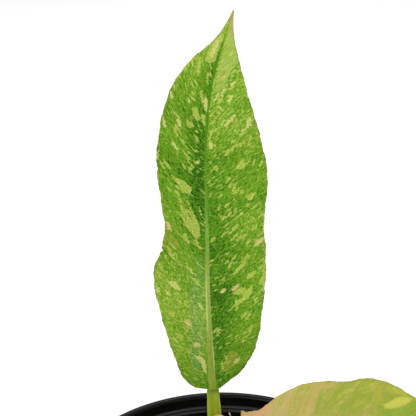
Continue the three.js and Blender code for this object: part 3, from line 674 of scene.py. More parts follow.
def colour(red, green, blue):
    """A colour given as 0 to 255 on screen, in the linear values that a shader takes."""
    channels = [value / 255 for value in (red, green, blue)]
    linear = [value / 12.92 if value <= 0.04045 else ((value + 0.055) / 1.055)**2.4 for value in channels]
    return (*linear, 1)


def fill(tree, socket, value):
    """Joins another node's output to a socket, or sets the socket to a value."""
    if isinstance(value, bpy.types.NodeSocket):
        tree.links.new(value, socket)
    else:
        socket.default_value = value


def add_node(tree, kind, sockets=None, **settings):
    """A node with its settings made and its inputs given as values or as other nodes' outputs."""
    node = tree.nodes.new(kind)
    for name, value in settings.items():
        setattr(node, name, value)
    for name, value in (sockets or {}).items():
        fill(tree, node.inputs[name], value)
    return node


def calc(tree, operation, a, b=0.0, c=0.0):
    return add_node(tree, "ShaderNodeMath", {0: a, 1: b, 2: c}, operation=operation).outputs[0]


def times(tree, a, b):
    return calc(tree, "MULTIPLY", a, b)


def times_plus(tree, a, b, c):
    return calc(tree, "MULTIPLY_ADD", a, b, c)


def nudged(tree, base, height, amount):
    """A value moved up or down by how far a height lies from its middle."""
    return times_plus(tree, calc(tree, "SUBTRACT", height, 0.5), amount, base)


def soft_step(tree, value, low, high):
    """0 at low, 1 at high, with a soft step between."""
    node = add_node(tree, "ShaderNodeMapRange", {"Value": value, "From Min": low, "From Max": high},
                    interpolation_type="SMOOTHSTEP")
    return node.outputs["Result"]


def stretch_of(tree, along, rise, fall):
    """1 along a stretch of the leaf. Its rise and its fall are soft, each from a start to an end."""
    return times(tree, soft_step(tree, along, *rise), soft_step(tree, along, fall[1], fall[0]))


def blended(tree, factor, a, b, mode="MIX"):
    """Two colours mixed, each a node's output or a (red, green, blue) as on screen."""
    a, b = (side if isinstance(side, bpy.types.NodeSocket) else colour(*side) for side in (a, b))
    node = add_node(tree, "ShaderNodeMix", {0: factor, 6: a, 7: b}, data_type="RGBA", blend_type=mode)
    return node.outputs[2]


def ramp(tree, factor, stops):
    """Colours by a factor, from stops of (factor, (red, green, blue))."""
    node = add_node(tree, "ShaderNodeValToRGB", {"Fac": factor})
    elements = node.color_ramp.elements
    while len(elements) < len(stops):
        elements.new(0.5)
    for element, (position, shade) in zip(elements, stops):
        element.position = position
        element.color = colour(*shade)
    return node.outputs["Color"]


def field(tree, name):
    return add_node(tree, "ShaderNodeAttribute", attribute_name=name).outputs["Fac"]


def noise_at(tree, vector, scale, detail, roughness):
    node = add_node(tree, "ShaderNodeTexNoise",
                    {"Vector": vector, "Scale": scale, "Detail": detail, "Roughness": roughness})
    return node.outputs["Fac"]


def new_group(name, inputs, outputs):
    """A shader node group with named inputs, each with its default, and named number outputs."""
    group = bpy.data.node_groups.new(name, "ShaderNodeTree")
    for label, default in inputs.items():
        kind = "NodeSocketVector" if isinstance(default, tuple) else "NodeSocketFloat"
        group.interface.new_socket(label, in_out="INPUT", socket_type=kind).default_value = default
    for label in outputs:
        group.interface.new_socket(label, in_out="OUTPUT", socket_type="NodeSocketFloat")
    given = group.nodes.new("NodeGroupInput").outputs
    result = group.nodes.new("NodeGroupOutput").inputs
    return group, given, result


def use_group(tree, group, sockets):
    return add_node(tree, "ShaderNodeGroup", sockets, node_tree=group).outputs


def vein_flecks_group():
    """Small marks stretched along the side veins."""
    group, given, result = new_group(
        "vein_flecks", {"Vein": 0, "Across": 0, "Spacing": 1, "Stretch": 3, "Seed": 0, "Level": 0.6,
                        "Softness": 0.05}, ["Mask", "Height"])
    x = calc(group, "DIVIDE", given["Vein"], given["Spacing"])
    y = calc(group, "DIVIDE", calc(group, "DIVIDE", given["Across"], given["Spacing"]), given["Stretch"])
    place = add_node(group, "ShaderNodeCombineXYZ", {"X": x, "Y": y, "Z": given["Seed"]})
    height = noise_at(group, place.outputs[0], 1, detail=1.3, roughness=0.55)
    low = calc(group, "SUBTRACT", given["Level"], given["Softness"])
    high = calc(group, "ADD", given["Level"], given["Softness"])
    fill(group, result["Mask"], soft_step(group, height, low, high))
    fill(group, result["Height"], height)
    return group


def ragged_mark_group():
    """Turns a mark's smooth field into a mark whose edge frays along the side veins."""
    group, given, result = new_group(
        "ragged_mark", {"Field": 0, "Vein": 0, "Across": 0, "Grit": 0.5, "Fray": 1, "Softness": 0.15},
        ["Mask"])
    place = add_node(group, "ShaderNodeCombineXYZ",
                     {"X": given["Vein"], "Y": times(group, given["Across"], 0.4), "Z": 7.0})
    strand = noise_at(group, place.outputs[0], 1.5, detail=3, roughness=0.65)
    rough = calc(group, "ADD", strand, given["Grit"])
    fray = times_plus(group, calc(group, "SUBTRACT", rough, 1), given["Fray"], 0.05)
    height = calc(group, "ADD", given["Field"], fray)
    low = times(group, given["Softness"], -1)
    fill(group, result["Mask"], soft_step(group, height, low, given["Softness"]))
    return group


def grain_group():
    """Fine and broad unevenness in the piece's own coordinates, in cycles per millimetre."""
    group, given, result = new_group("grain", {"Vector": (0, 0, 0), "Fine": 2, "Broad": 0.1},
                                     ["Fine", "Broad"])
    scaled = add_node(group, "ShaderNodeVectorMath", {0: given["Vector"], 1: (1000, 1000, 1000)},
                      operation="MULTIPLY").outputs[0]
    fill(group, result["Fine"], noise_at(group, scaled, given["Fine"], detail=3, roughness=0.6))
    fill(group, result["Broad"], noise_at(group, scaled, given["Broad"], detail=2, roughness=0.5))
    return group


VEIN_FLECKS = vein_flecks_group()
RAGGED_MARK = ragged_mark_group()
GRAIN = grain_group()


def new_material(name, specular):
    material = bpy.data.materials.new(name)
    material.use_nodes = True
    tree = material.node_tree
    tree.nodes["Principled BSDF"].inputs["Specular IOR Level"].default_value = specular
    return material, tree


def set_surface(tree, skin, roughness, height, strength, depth):
    """Gives a material its colour, its roughness and a relief whose depth is in metres."""
    bump = add_node(tree, "ShaderNodeBump", {"Height": height, "Strength": strength, "Distance": depth})
    shader = tree.nodes["Principled BSDF"]
    values = {"Base Color": skin, "Roughness": roughness, "Normal": bump.outputs["Normal"]}
    for name, value in values.items():
        fill(tree, shader.inputs[name], value)


def grained(tree, fine, broad):
    place = add_node(tree, "ShaderNodeTexCoord").outputs["Object"]
    return use_group(tree, GRAIN, {"Vector": place, "Fine": fine, "Broad": broad})


def flecks_on(tree, vein, across, spacing, stretch, seed, level=0.5, softness=0.2):
    """Flecks spaced in millimetres. Level and softness say how much of them the mask keeps."""
    return use_group(tree, VEIN_FLECKS, {"Vein": vein, "Across": across, "Spacing": spacing,
                                         "Stretch": stretch, "Seed": seed, "Level": level,
                                         "Softness": softness})


# Materials

# Unevenness of the blades: spacing in millimetres, stretch and seed. The grit lies straight across
# the blade, and the others follow its side veins.
GRIT = (0.48, 1.4, 19)
STREAKS = (0.8, 2.2, 11)
FINE_LINES = (0.5, 9, 83)

# Flecks along the side veins: the same three, then the level and the softness of their mask
SMALL_FLECKS = (0.42, 2.0, 41, 0.57, 0.035)
DARK_FLECKS = (0.5, 2.0, 53, 0.55, 0.06)
LARGE_FLECKS = (0.85, 2.4, 67, 0.59, 0.03)
FLECK_CLUSTERS = (5, 1.4, 29, 0.52, 0.08)


def blade_ground(tree, look, on, flecks):
    """The ground's tone, unevened by every kind of fleck and shaded along its fine lines."""
    tone = on["tone"]
    for kind in ("broad", "streaks", "grit", "lines"):
        tone = nudged(tree, tone, on[kind], look[kind])
    small = flecks(*SMALL_FLECKS)["Mask"]
    reach = times_plus(tree, on["tone"], look["fleck_rise"], look["fleck_least"])
    tone = times_plus(tree, small, reach, tone)
    tone = times_plus(tree, on["dark"], -look["dark_flecks"], tone)
    ground = ramp(tree, tone, look["ground"])
    shade = ramp(tree, on["lines"], [(0.3, (208, 208, 200)), (0.7, (255, 255, 255))])
    return blended(tree, look["line_shade"], ground, shade, "MULTIPLY")


def blade_marks(tree, look, on, flecks, ground):
    """The broad zones, a painted sheen on the upright blade among them, then the clustered flecks and the
    placed marks, each over the last.
    """
    grit = on["grit"]

    def mark(key, strength, fray=0.9, softness=look["softness"]):
        mask = use_group(tree, RAGGED_MARK, {"Field": field(tree, key), "Vein": on["vein"],
                                             "Across": on["across"], "Grit": grit, "Fray": fray,
                                             "Softness": softness})["Mask"]
        return times(tree, mask, strength)

    # On the upright blade this is a painted bluish sheen, screened over the ground left of the midrib. On
    # the peach blade it is a pink tint mixed in.
    sheen_and_pink = ramp(tree, grit, [(0.36, look["sheen_and_pink_shade"]), (0.56, look["sheen_and_pink"])])
    sheen_and_pink_mask = mark("sheen_and_pink", look["sheen_and_pink_strength"], fray=2, softness=1.5)
    ground = blended(tree, sheen_and_pink_mask, ground, sheen_and_pink, look["sheen_and_pink_mode"])
    ground = blended(tree, mark("olive", 0.55, fray=3, softness=0.5), ground, look["olive"])
    sector = ramp(tree, on["streaks"], [(0.36, look["sector_shade"]), (0.62, look["sector"])])
    in_sector = mark("sector", look["sector_strength"], fray=1.2, softness=0.3)
    ground = blended(tree, in_sector, ground, sector)
    cluster = flecks(*FLECK_CLUSTERS)["Mask"]
    large = times(tree, flecks(*LARGE_FLECKS)["Mask"], cluster)
    ground = blended(tree, times(tree, large, look["large_flecks"]), ground, look["fleck"])
    mottle = ramp(tree, grit, [(0.34, look["pale_shade"]), (0.52, look["pale"]), (0.7, look["cream"])])
    ground = blended(tree, mark("pale", look["pale_strength"]), ground, mottle)
    bright = ramp(tree, grit, [(0.26, look["pale"]), (0.52, look["cream"]), (0.76, look["white"])])
    ground = blended(tree, mark("cream", 0.9), ground, bright)
    blush = mark("blush", look["blush_strength"], look["blush_fray"], look["blush_softness"])
    return blended(tree, blush, ground, look["blush"])


def blade_midrib(tree, look, on, worn_rib, ground):
    """The midrib by place along the leaf, with a paler strand on its left and one low on its right."""
    along, rib = on["along"], on["rib"]
    on_rib = times(tree, soft_step(tree, worn_rib, 1.2, 0.8), look["rib_strength"])
    tone = ramp(tree, calc(tree, "DIVIDE", along, RIB_TONE_REACH), look["rib"])
    tone = blended(tree, times(tree, on["dark"], 0.4), tone, look["rib_shade"])
    off_middle = calc(tree, "ABSOLUTE", calc(tree, "SUBTRACT", rib, 0.2))
    left = times(tree, soft_step(tree, off_middle, 0.55, 0.8), stretch_of(tree, along, *LEFT_STRAND))
    right = times(tree, soft_step(tree, rib, 0.65, 0.85), stretch_of(tree, along, *RIGHT_STRAND))
    strand = times(tree, calc(tree, "MAXIMUM", left, right), look["strands"])
    return blended(tree, on_rib, ground, blended(tree, strand, tone, look["rib_edge"]))


def blade_underside(tree, look, on, worn_rib, side_vein, ground):
    """The underside: the upper side's pattern, dulled, under raised midrib and side veins."""
    dull = ramp(tree, on["broad"], [(0.36, look["under"]), (0.62, look["under_light"])])
    under = blended(tree, 0.45, ground, dull)
    under = blended(tree, times(tree, side_vein, 0.5), under, look["under_rib"])
    return blended(tree, soft_step(tree, worn_rib, 1.15, 0.75), under, look["under_rib"])


def blade_material(name, look):
    """A variegated blade: ground, marks, midrib, margin and tip, and a dull underside."""
    material, tree = new_material(name, look["specular"])
    on = {key: field(tree, key) for key in ("vein", "across", "along", "edge", "rib", "upper", "tone")}

    def flecks(spacing, stretch, seed, level=0.5, softness=0.2, down="vein"):
        return flecks_on(tree, on[down], on["across"], spacing, stretch, seed, level, softness)

    grit = on["grit"] = flecks(*GRIT, down="along")["Height"]
    on["broad"] = flecks(*look["broad_zones"])["Height"]
    on["streaks"] = flecks(*STREAKS)["Height"]
    on["lines"] = flecks(*FINE_LINES)["Height"]
    on["dark"] = flecks(*DARK_FLECKS)["Mask"]
    lean = stretch_of(tree, on["along"], *RIB_LEAN)
    from_rib = calc(tree, "ABSOLUTE", times_plus(tree, lean, -0.4, on["rib"]))
    worn_rib = nudged(tree, from_rib, grit, 0.8)
    from_vein = calc(tree, "PINGPONG", calc(tree, "DIVIDE", on["vein"], SIDE_VEIN_GAP), 0.5)
    side_vein = times(tree, soft_step(tree, nudged(tree, from_vein, grit, 0.04), 0.07, 0.02),
                      soft_step(tree, on["edge"], 0.5, 3))

    marked = blade_marks(tree, look, on, flecks, blade_ground(tree, look, on, flecks))
    upper = blade_midrib(tree, look, on, worn_rib, marked)
    under = blade_underside(tree, look, on, worn_rib, side_vein, marked)
    rim = times(tree, soft_step(tree, nudged(tree, on["edge"], on["streaks"], 0.8), 0.36, 0.14), 0.75)
    rim_colour = ramp(tree, on["broad"], [(0.42, look["margin"]), (0.56, look["margin_light"])])
    upper = blended(tree, rim, upper, rim_colour)
    upper = blended(tree, times(tree, field(tree, "tip"), 0.85), upper, look["tip"])
    under = blended(tree, times(tree, rim, 0.7), under, rim_colour)
    skin = blended(tree, on["upper"], under, upper)

    lower = calc(tree, "SUBTRACT", 1.0, on["upper"])
    roughness = times_plus(tree, lower, 0.18, times_plus(tree, grit, 0.25, look["roughness"]))
    relief = times_plus(tree, times(tree, side_vein, lower), 2.0, calc(tree, "ADD", on["lines"], grit))
    set_surface(tree, skin, roughness, relief, strength=0.35, depth=0.00012)
    return material


GREEN_LOOK = {
    "ground": [(0, (36, 86, 0)), (0.14, (60, 114, 2)), (0.26, (80, 134, 11)), (0.5, (103, 152, 24)),
               (0.74, (125, 166, 34)), (0.92, (156, 186, 65)), (1, (174, 196, 88))],
    "fleck_least": 0.08, "fleck_rise": 0.52, "dark_flecks": 0.26, "fleck": (190, 204, 96),
    "cream": (202, 206, 110), "pale": (168, 188, 72), "pale_shade": (156, 180, 62),
    "white": (226, 222, 158), "pale_strength": 0.9, "softness": 0.14, "sector": (170, 189, 92),
    "sector_shade": (148, 173, 60), "sector_strength": 0.8, "olive": (158, 164, 54),
    # The bluish colour screened over the ground left of the midrib is a painted sheen
    "sheen_and_pink": (30, 34, 60), "sheen_and_pink_shade": (22, 26, 48), "sheen_and_pink_mode": "SCREEN", "sheen_and_pink_strength": 0.8,
    "blush": (216, 194, 122), "blush_strength": 0.85, "blush_fray": 1.2, "blush_softness": 0.2,
    "rib": [(0, (142, 158, 50)), (0.03, (152, 166, 60)), (0.08, (146, 162, 58)), (0.12, (142, 164, 62)),
            (0.19, (160, 180, 82)), (0.31, (166, 184, 94)), (0.36, (148, 172, 80)),
            (0.4, (134, 168, 66)), (0.45, (138, 178, 70)), (0.5, (108, 158, 44)), (0.62, (90, 146, 22)),
            (0.74, (68, 122, 8)), (0.89, (84, 134, 18)), (0.93, (138, 168, 48)), (1, (158, 178, 68))],
    "rib_shade": (96, 132, 30), "rib_edge": (204, 214, 122), "strands": 0.95, "rib_strength": 0.88,
    "margin": (116, 122, 30), "margin_light": (170, 150, 80), "tip": (190, 160, 98),
    "under": (108, 142, 66), "under_light": (132, 160, 84), "under_rib": (160, 176, 100), "broad": 0.45,
    "broad_zones": (7.0, 1.8, 3), "streaks": 0.5, "grit": 0.9, "lines": 0.1,
    "line_shade": 0.1, "large_flecks": 0.75, "roughness": 0.44, "specular": 0.12,
}

PEACH_LOOK = {
    "ground": [(0, (193, 156, 106)), (0.24, (180, 164, 98)), (0.38, (169, 159, 76)),
               (0.52, (146, 152, 59)), (0.66, (143, 153, 47)), (0.8, (133, 152, 38)),
               (1, (98, 140, 32))],
    "fleck_least": -0.05, "fleck_rise": -0.05, "dark_flecks": -0.06, "cream": (178, 178, 68),
    "fleck": (168, 168, 76), "pale": (174, 174, 70), "pale_shade": (160, 164, 62),
    "white": (184, 182, 80), "pale_strength": 0.5, "softness": 0.4, "sector": (126, 154, 44),
    "sector_shade": (110, 136, 32), "sector_strength": 0.6, "olive": (160, 156, 34),
    "sheen_and_pink": (196, 160, 116), "sheen_and_pink_shade": (176, 132, 90), "sheen_and_pink_mode": "MIX", "sheen_and_pink_strength": 0.5,
    "blush": (184, 154, 90), "blush_strength": 0.6, "blush_fray": 2.4, "blush_softness": 1.0,
    "rib": [(0, (170, 148, 84)), (0.3, (152, 152, 70)), (0.6, (136, 152, 56)), (1, (114, 142, 42))],
    "rib_shade": (138, 130, 56), "rib_edge": (182, 174, 102), "strands": 0.6, "rib_strength": 0.8,
    "margin": (140, 118, 56), "margin_light": (180, 144, 92), "tip": (180, 138, 82),
    "under": (166, 150, 84), "under_light": (180, 166, 100), "under_rib": (186, 166, 104),
    "broad": 0.55, "broad_zones": (4.0, 5.0, 3), "streaks": 0.4, "grit": 0.25,
    "lines": 0.2, "line_shade": 0.5, "large_flecks": 0.2, "roughness": 0.44, "specular": 0.14,
}


def plastic_material():
    material, tree = new_material("black_pot_plastic", specular=0.2)
    grain = grained(tree, fine=1.4, broad=0.06)
    tone = ramp(tree, grain["Broad"], [(0.3, (2, 3, 3)), (0.7, (7, 8, 7))])
    dust = soft_step(tree, grain["Fine"], 0.64, 0.74)
    skin = blended(tree, times(tree, dust, 0.25), tone, (52, 50, 46))
    roughness = times_plus(tree, grain["Broad"], 0.2, 0.2)
    set_surface(tree, skin, roughness, grain["Fine"], strength=0.12, depth=0.0001)
    return material


def soil_material():
    material, tree = new_material("potting_mix", specular=0.25)
    grain = grained(tree, fine=1.1, broad=0.22)
    tone = ramp(tree, grain["Fine"], [(0.3, (28, 19, 13)), (0.5, (62, 43, 29)), (0.62, (96, 70, 46)),
                                      (0.75, (140, 108, 74))])
    damp = blended(tree, soft_step(tree, grain["Broad"], 0.4, 0.6), tone, (40, 28, 20), "MULTIPLY")
    skin = blended(tree, 0.45, tone, damp)
    roughness = times_plus(tree, grain["Fine"], 0.3, 0.65)
    set_surface(tree, skin, roughness, grain["Fine"], strength=0.8, depth=0.0006)
    return material


def bark_material():
    material, tree = new_material("bark", specular=0.3)
    grain = grained(tree, fine=1.8, broad=0.3)
    tone = ramp(tree, grain["Fine"], [(0.3, (58, 34, 20)), (0.5, (104, 66, 40)), (0.7, (150, 106, 68))])
    age = ramp(tree, field(tree, "age"), [(0, (112, 88, 76)), (0.35, (206, 168, 140)),
                                          (0.7, (255, 214, 176)), (1, (176, 170, 164))])
    aged = blended(tree, 1.0, tone, age, "MULTIPLY")
    worn = blended(tree, soft_step(tree, grain["Broad"], 0.45, 0.75), aged, (112, 94, 76))
    set_surface(tree, worn, 0.8, grain["Fine"], strength=0.7, depth=0.0004)
    return material


def perlite_material():
    material, tree = new_material("perlite", specular=0.3)
    grain = grained(tree, fine=2.5, broad=0.4)
    tone = ramp(tree, grain["Fine"], [(0.35, (150, 136, 118)), (0.65, (226, 220, 208))])
    stained = blended(tree, soft_step(tree, grain["Broad"], 0.45, 0.7), tone, (168, 142, 112))
    set_surface(tree, stained, 0.85, grain["Fine"], strength=0.5, depth=0.0002)
    return material


def stalk_material(name, body, flank, fleck, joint):
    """A stalk: its channel and flanks differ, and fine lines run along it."""
    material, tree = new_material(name, specular=0.3)
    lay = (tree, field(tree, "turn"), field(tree, "along"))
    lines = flecks_on(*lay, spacing=0.45, stretch=9, seed=5, level=0.56, softness=0.08)
    spots = flecks_on(*lay, spacing=1.1, stretch=1.6, seed=17, level=0.64, softness=0.03)
    skin = blended(tree, times(tree, lines["Mask"], 0.2), body, flank)
    skin = blended(tree, times(tree, field(tree, "flank"), 0.6), skin, flank)
    skin = blended(tree, times(tree, spots["Mask"], 0.35), skin, fleck)
    skin = blended(tree, times(tree, field(tree, "joint"), 0.9), skin, joint)
    roughness = times_plus(tree, lines["Height"], 0.2, 0.3)
    set_surface(tree, skin, roughness, lines["Height"], strength=0.3, depth=0.00015)
    return material


def stem_material():
    material, tree = new_material("ringed_green_stem", specular=0.35)
    grain = grained(tree, fine=1.6, broad=0.25)
    scar = field(tree, "scar")
    tone = ramp(tree, grain["Broad"], [(0.35, (96, 112, 44)), (0.65, (136, 142, 66))])
    cork = ramp(tree, grain["Fine"], [(0.35, (92, 70, 42)), (0.65, (146, 118, 78))])
    skin = blended(tree, scar, tone, cork)
    roughness = times_plus(tree, scar, 0.3, 0.42)
    set_surface(tree, skin, roughness, grain["Fine"], strength=0.5, depth=0.0003)
    return material


def new_leaf_material():
    material, tree = new_material("rolled_peach_leaf", specular=0.45)
    along = field(tree, "along")
    lay = (tree, field(tree, "turn"), along)
    lines = flecks_on(*lay, spacing=0.5, stretch=7, seed=9, level=0.55, softness=0.1)
    tone = ramp(tree, calc(tree, "DIVIDE", along, NEW_LEAF_TONE_REACH),
                [(0, (178, 176, 92)), (0.4, (212, 160, 98)), (0.8, (234, 156, 98)), (1, (238, 168, 112))])
    skin = blended(tree, times(tree, lines["Mask"], 0.4), tone, (244, 196, 150))
    skin = blended(tree, times(tree, field(tree, "seam"), 0.5), skin, (176, 98, 58))
    roughness = times_plus(tree, lines["Height"], 0.2, 0.28)
    set_surface(tree, skin, roughness, lines["Height"], strength=0.3, depth=0.00015)
    return material


def sheath_material():
    material, tree = new_material("dry_papery_sheath", specular=0.25)
    lay = (tree, field(tree, "turn"), field(tree, "along"))
    fibres = flecks_on(*lay, spacing=0.4, stretch=14, seed=23, level=0.5, softness=0.12)
    stains = flecks_on(*lay, spacing=2.2, stretch=2.0, seed=31, level=0.52, softness=0.1)
    skin = blended(tree, fibres["Mask"], (186, 152, 108), (224, 200, 160))
    skin = blended(tree, times(tree, stains["Mask"], 0.55), skin, (138, 98, 60))
    set_surface(tree, skin, 0.75, fibres["Height"], strength=0.6, depth=0.0003)
    return material


def stage_material():
    material, tree = new_material("studio_floor", specular=0.1)
    shader = tree.nodes["Principled BSDF"]
    grain = grained(tree, fine=0.02, broad=0.002)
    tone = ramp(tree, grain["Broad"], [(0.3, (246, 246, 246)), (0.7, (251, 251, 251))])
    fill(tree, shader.inputs["Base Color"], tone)
    shader.inputs["Roughness"].default_value = 0.9
    return material


# Pieces

def make_pot(material):
    """The pot's turned shell with its drain holes cut."""
    wall_radius, wall_height = WALL_TOP
    band_foot = POT_HEIGHT - RIM_BAND
    profile = [
        (0, 0), (BOSS_RADIUS, 0), (BOSS_RADIUS + 1, FOOT_RECESS),
        (FOOT_RADIUS - 4.4, FOOT_RECESS), (FOOT_RADIUS - 3.4, 0), (FOOT_RADIUS, 0),
        (FOOT_RADIUS + 0.6, 0.6), (wall_radius + 1.4, band_foot), (wall_radius + 1.6, wall_height),
        (RIM_RADIUS - 1.5, wall_height), (RIM_RADIUS - 1.3, band_foot), (RIM_RADIUS - 0.3, band_foot),
        (RIM_RADIUS, band_foot + 0.6), (RIM_RADIUS, POT_HEIGHT + LIP_RISE - 0.5),
        (RIM_RADIUS - 0.4, POT_HEIGHT + LIP_RISE), (RIM_RADIUS - 1.6, POT_HEIGHT + LIP_RISE),
        (RIM_RADIUS - 2.5, POT_HEIGHT - 0.4),
        (RIM_RADIUS - 3, POT_HEIGHT - 4.1), (RIM_RADIUS - 4.1, POT_HEIGHT - 4.3),
        (RIM_RADIUS - 4.2, POT_HEIGHT - 5), (wall_radius + 0.1, POT_HEIGHT - 5.1),
        WALL_TOP, WALL_BOTTOM, (INNER_FLOOR_RADIUS, FLOOR_TOP), (0, FLOOR_TOP),
    ]
    shell = turned_mesh("pot_shell", rounded(profile, CORNER_RADIUS), POT_SIDES)
    pot = add_object("pot_shell", shell)
    drills = bmesh.new()
    for i in range(DRAIN_COUNT):
        turn = (i + 0.5) / DRAIN_COUNT * 2 * math.pi
        middle = (DRAIN_CIRCLE * math.cos(turn), DRAIN_CIRCLE * math.sin(turn), FLOOR_TOP / 2)
        place = Matrix.Translation([value * MM for value in middle])
        bmesh.ops.create_cone(drills, cap_ends=True, segments=DRAIN_SIDES, radius1=DRAIN_RADIUS * MM,
                              radius2=DRAIN_RADIUS * MM, depth=(FLOOR_TOP + 3) * MM, matrix=place)
    drill_mesh = bpy.data.meshes.new("drain_drills")
    drills.to_mesh(drill_mesh)
    drills.free()
    drill = add_object("drain_drills", drill_mesh)
    cut = pot.modifiers.new("drains", "BOOLEAN")
    cut.operation = "DIFFERENCE"
    cut.solver = "EXACT"
    cut.object = drill
    finished = plain_mesh(pot, "pot_finished")
    bpy.data.objects.remove(drill)
    mark_sharp(finished, degrees=40)
    add_piece("nursery_pot", finished, material, "pot")


def plain_mesh(piece, name):
    """The mesh that a piece's modifiers give. The piece itself is taken away."""
    bpy.context.view_layer.update()
    evaluated = piece.evaluated_get(bpy.context.evaluated_depsgraph_get())
    mesh = bpy.data.meshes.new_from_object(evaluated)
    mesh.name = name
    bpy.data.objects.remove(piece)
    return mesh


def mark_sharp(mesh, degrees):
    """Edges that bend by more than this stay crisp."""
    mesh.shade_smooth()
    mesh.set_sharp_from_angle(angle=math.radians(degrees))


def soil_height(x, y):
    """Height of the soil: a low mound with lumps that fade out towards the wall."""
    radius = np.hypot(x, y)
    mound = SOIL_MOUND * np.exp(-(radius / MOUND_SPREAD)**2)
    fade = np.minimum(1, (LUMPS_END - radius) / LUMPS_FADE)
    lumps = (0.9 * np.sin(0.31 * x + 1.3) * np.sin(0.27 * y + 0.4)
             + 0.7 * np.sin(0.52 * x - 0.43 * y + 2) * np.sin(0.47 * y + 0.38 * x)
             + 0.4 * np.sin(0.83 * x + 0.36 * y))
    return SOIL_LEVEL + mound + fade * lumps


def crumbly(x, y):
    """Fine unevenness of the soil's surface."""
    coarse = noise.fractal(Vector((0.22 * x, 0.22 * y, 3)), 0.6, 2.1, 4)
    fine = noise.fractal(Vector((0.9 * x, 0.9 * y, 8)), 0.5, 2.0, 3)
    return 0.7 * coarse + 0.4 * fine


def make_soil(material):
    """The soil fills the pot up to its level. The stem stands in a plain hole."""
    bottom_radius, bottom_height = WALL_BOTTOM
    top_radius, top_height = WALL_TOP
    share = (SOIL_LEVEL - bottom_height) / (top_height - bottom_height)
    edge = bottom_radius + (top_radius - bottom_radius) * share - GAP
    hole = STEM_RADIUS + GAP
    profile = [(0, FLOOR_TOP + GAP), (INNER_FLOOR_RADIUS - GAP, FLOOR_TOP + GAP),
               (bottom_radius - GAP, bottom_height + GAP), (edge, SOIL_LEVEL)]
    for ring in range(1, SOIL_RINGS + 1):
        profile.append((edge + (hole - edge) * ring / SOIL_RINGS, SOIL_LEVEL))
    profile += [(hole, STEM_BOTTOM - GAP), (0, STEM_BOTTOM - GAP)]
    mesh = turned_mesh("soil_body", profile, SOIL_SIDES)
    for vertex in mesh.vertices:
        x, y, z = vertex.co / MM
        if z > SOIL_LEVEL - 1:
            rough = crumbly(x, y) * min(1, (LUMPS_END - math.hypot(x, y)) / CRUMBLE_FADE)
            vertex.co.z = (float(soil_height(x, y)) + rough) * MM
    mark_sharp(mesh, degrees=70)
    add_piece("potting_soil", mesh, material, "soil")


def random_row(seed):
    """The same row of numbers between 0 and 1 for the same seed."""
    value = seed
    while True:
        value = value * 16807 % 2147483647
        yield value / 2147483647


def chip_point(corner, number):
    """A point of a cube of side 1 moved to where it lies on a broken, layered chip of bark."""
    reach = max(abs(corner.x), abs(corner.y))
    turn = math.atan2(corner.y, corner.x)
    square = reach / max(math.hypot(corner.x, corner.y), 1e-6)
    broken = 1 + 0.13 * math.sin(2 * turn + 2.1 * number) + 0.1 * math.sin(5 * turn + 3.7 * number)
    spread = 0.92 * (0.5 + 0.5 * square) * broken
    wedge = 0.85 + 0.5 * corner.x * math.sin(5.3 * number)
    thickness = 0.92 * wedge * (1 - 0.45 * (2 * reach)**4)
    point = Vector((corner.x * spread, corner.y * spread, corner.z * thickness))
    rough = noise.fractal(point * 5 + Vector((7.3 * number, 0, 0)), 0.7, 2.0, 4)
    layers = 0.035 * math.sin(30 * corner.z + 4 * corner.x) * (1 - abs(2 * corner.z)**4)
    return point + corner.normalized() * (0.15 * rough + layers)


def chip_mesh():
    """Bark chips lie where the frame's chips lie, half sunk in the soil."""
    random = random_row(BARK_SEED)
    shape = bmesh.new()
    for i in range(BARK_CHIPS):
        radius = NEAREST_CHIP + CHIP_SPREAD * math.sqrt((i + 0.5) / BARK_CHIPS)
        turn = i * CHIP_TURN + 0.5 * next(random)
        size = (5 + 4 * next(random), 3 + 2 * next(random), 1.8 + 1.2 * next(random))
        tilt_x = 0.5 * (next(random) - 0.5)
        tilt_y = 0.5 * (next(random) - 0.5)
        spin = math.pi * next(random)
        x, y = radius * math.cos(turn), radius * math.sin(turn)
        rotation = (Matrix.Rotation(spin, 4, "Z") @ Matrix.Rotation(tilt_y, 4, "Y")
                    @ Matrix.Rotation(tilt_x, 4, "X"))
        chip = bmesh.new()
        bmesh.ops.create_cube(chip, size=1)
        bmesh.ops.subdivide_edges(chip, edges=chip.edges[:], cuts=CHIP_CUTS, use_grid_fill=True)
        for vertex in chip.verts:
            vertex.co = Vector([a * b for a, b in zip(chip_point(vertex.co, i), size)])
        place = Matrix.Translation((x, y, float(soil_height(x, y)) + 0.25))
        chip.transform(Matrix.Scale(MM, 4) @ place @ rotation)
        part = bpy.data.meshes.new("chip")
        chip.to_mesh(part)
        chip.free()
        shape.from_mesh(part)
        bpy.data.meshes.remove(part)
    mesh = bpy.data.meshes.new("bark_chips")
    shape.to_mesh(mesh)
    shape.free()
    ages = [0.5 + 0.5 * math.sin(1.9 * i) for i in range(BARK_CHIPS)]
    age = mesh.attributes.new("age", "FLOAT", "POINT")
    age.data.foreach_set("value", np.repeat(ages, len(mesh.vertices) // BARK_CHIPS).astype(np.float32))
    mark_sharp(mesh, degrees=50)
    return mesh


FULL_TURN = 6.28


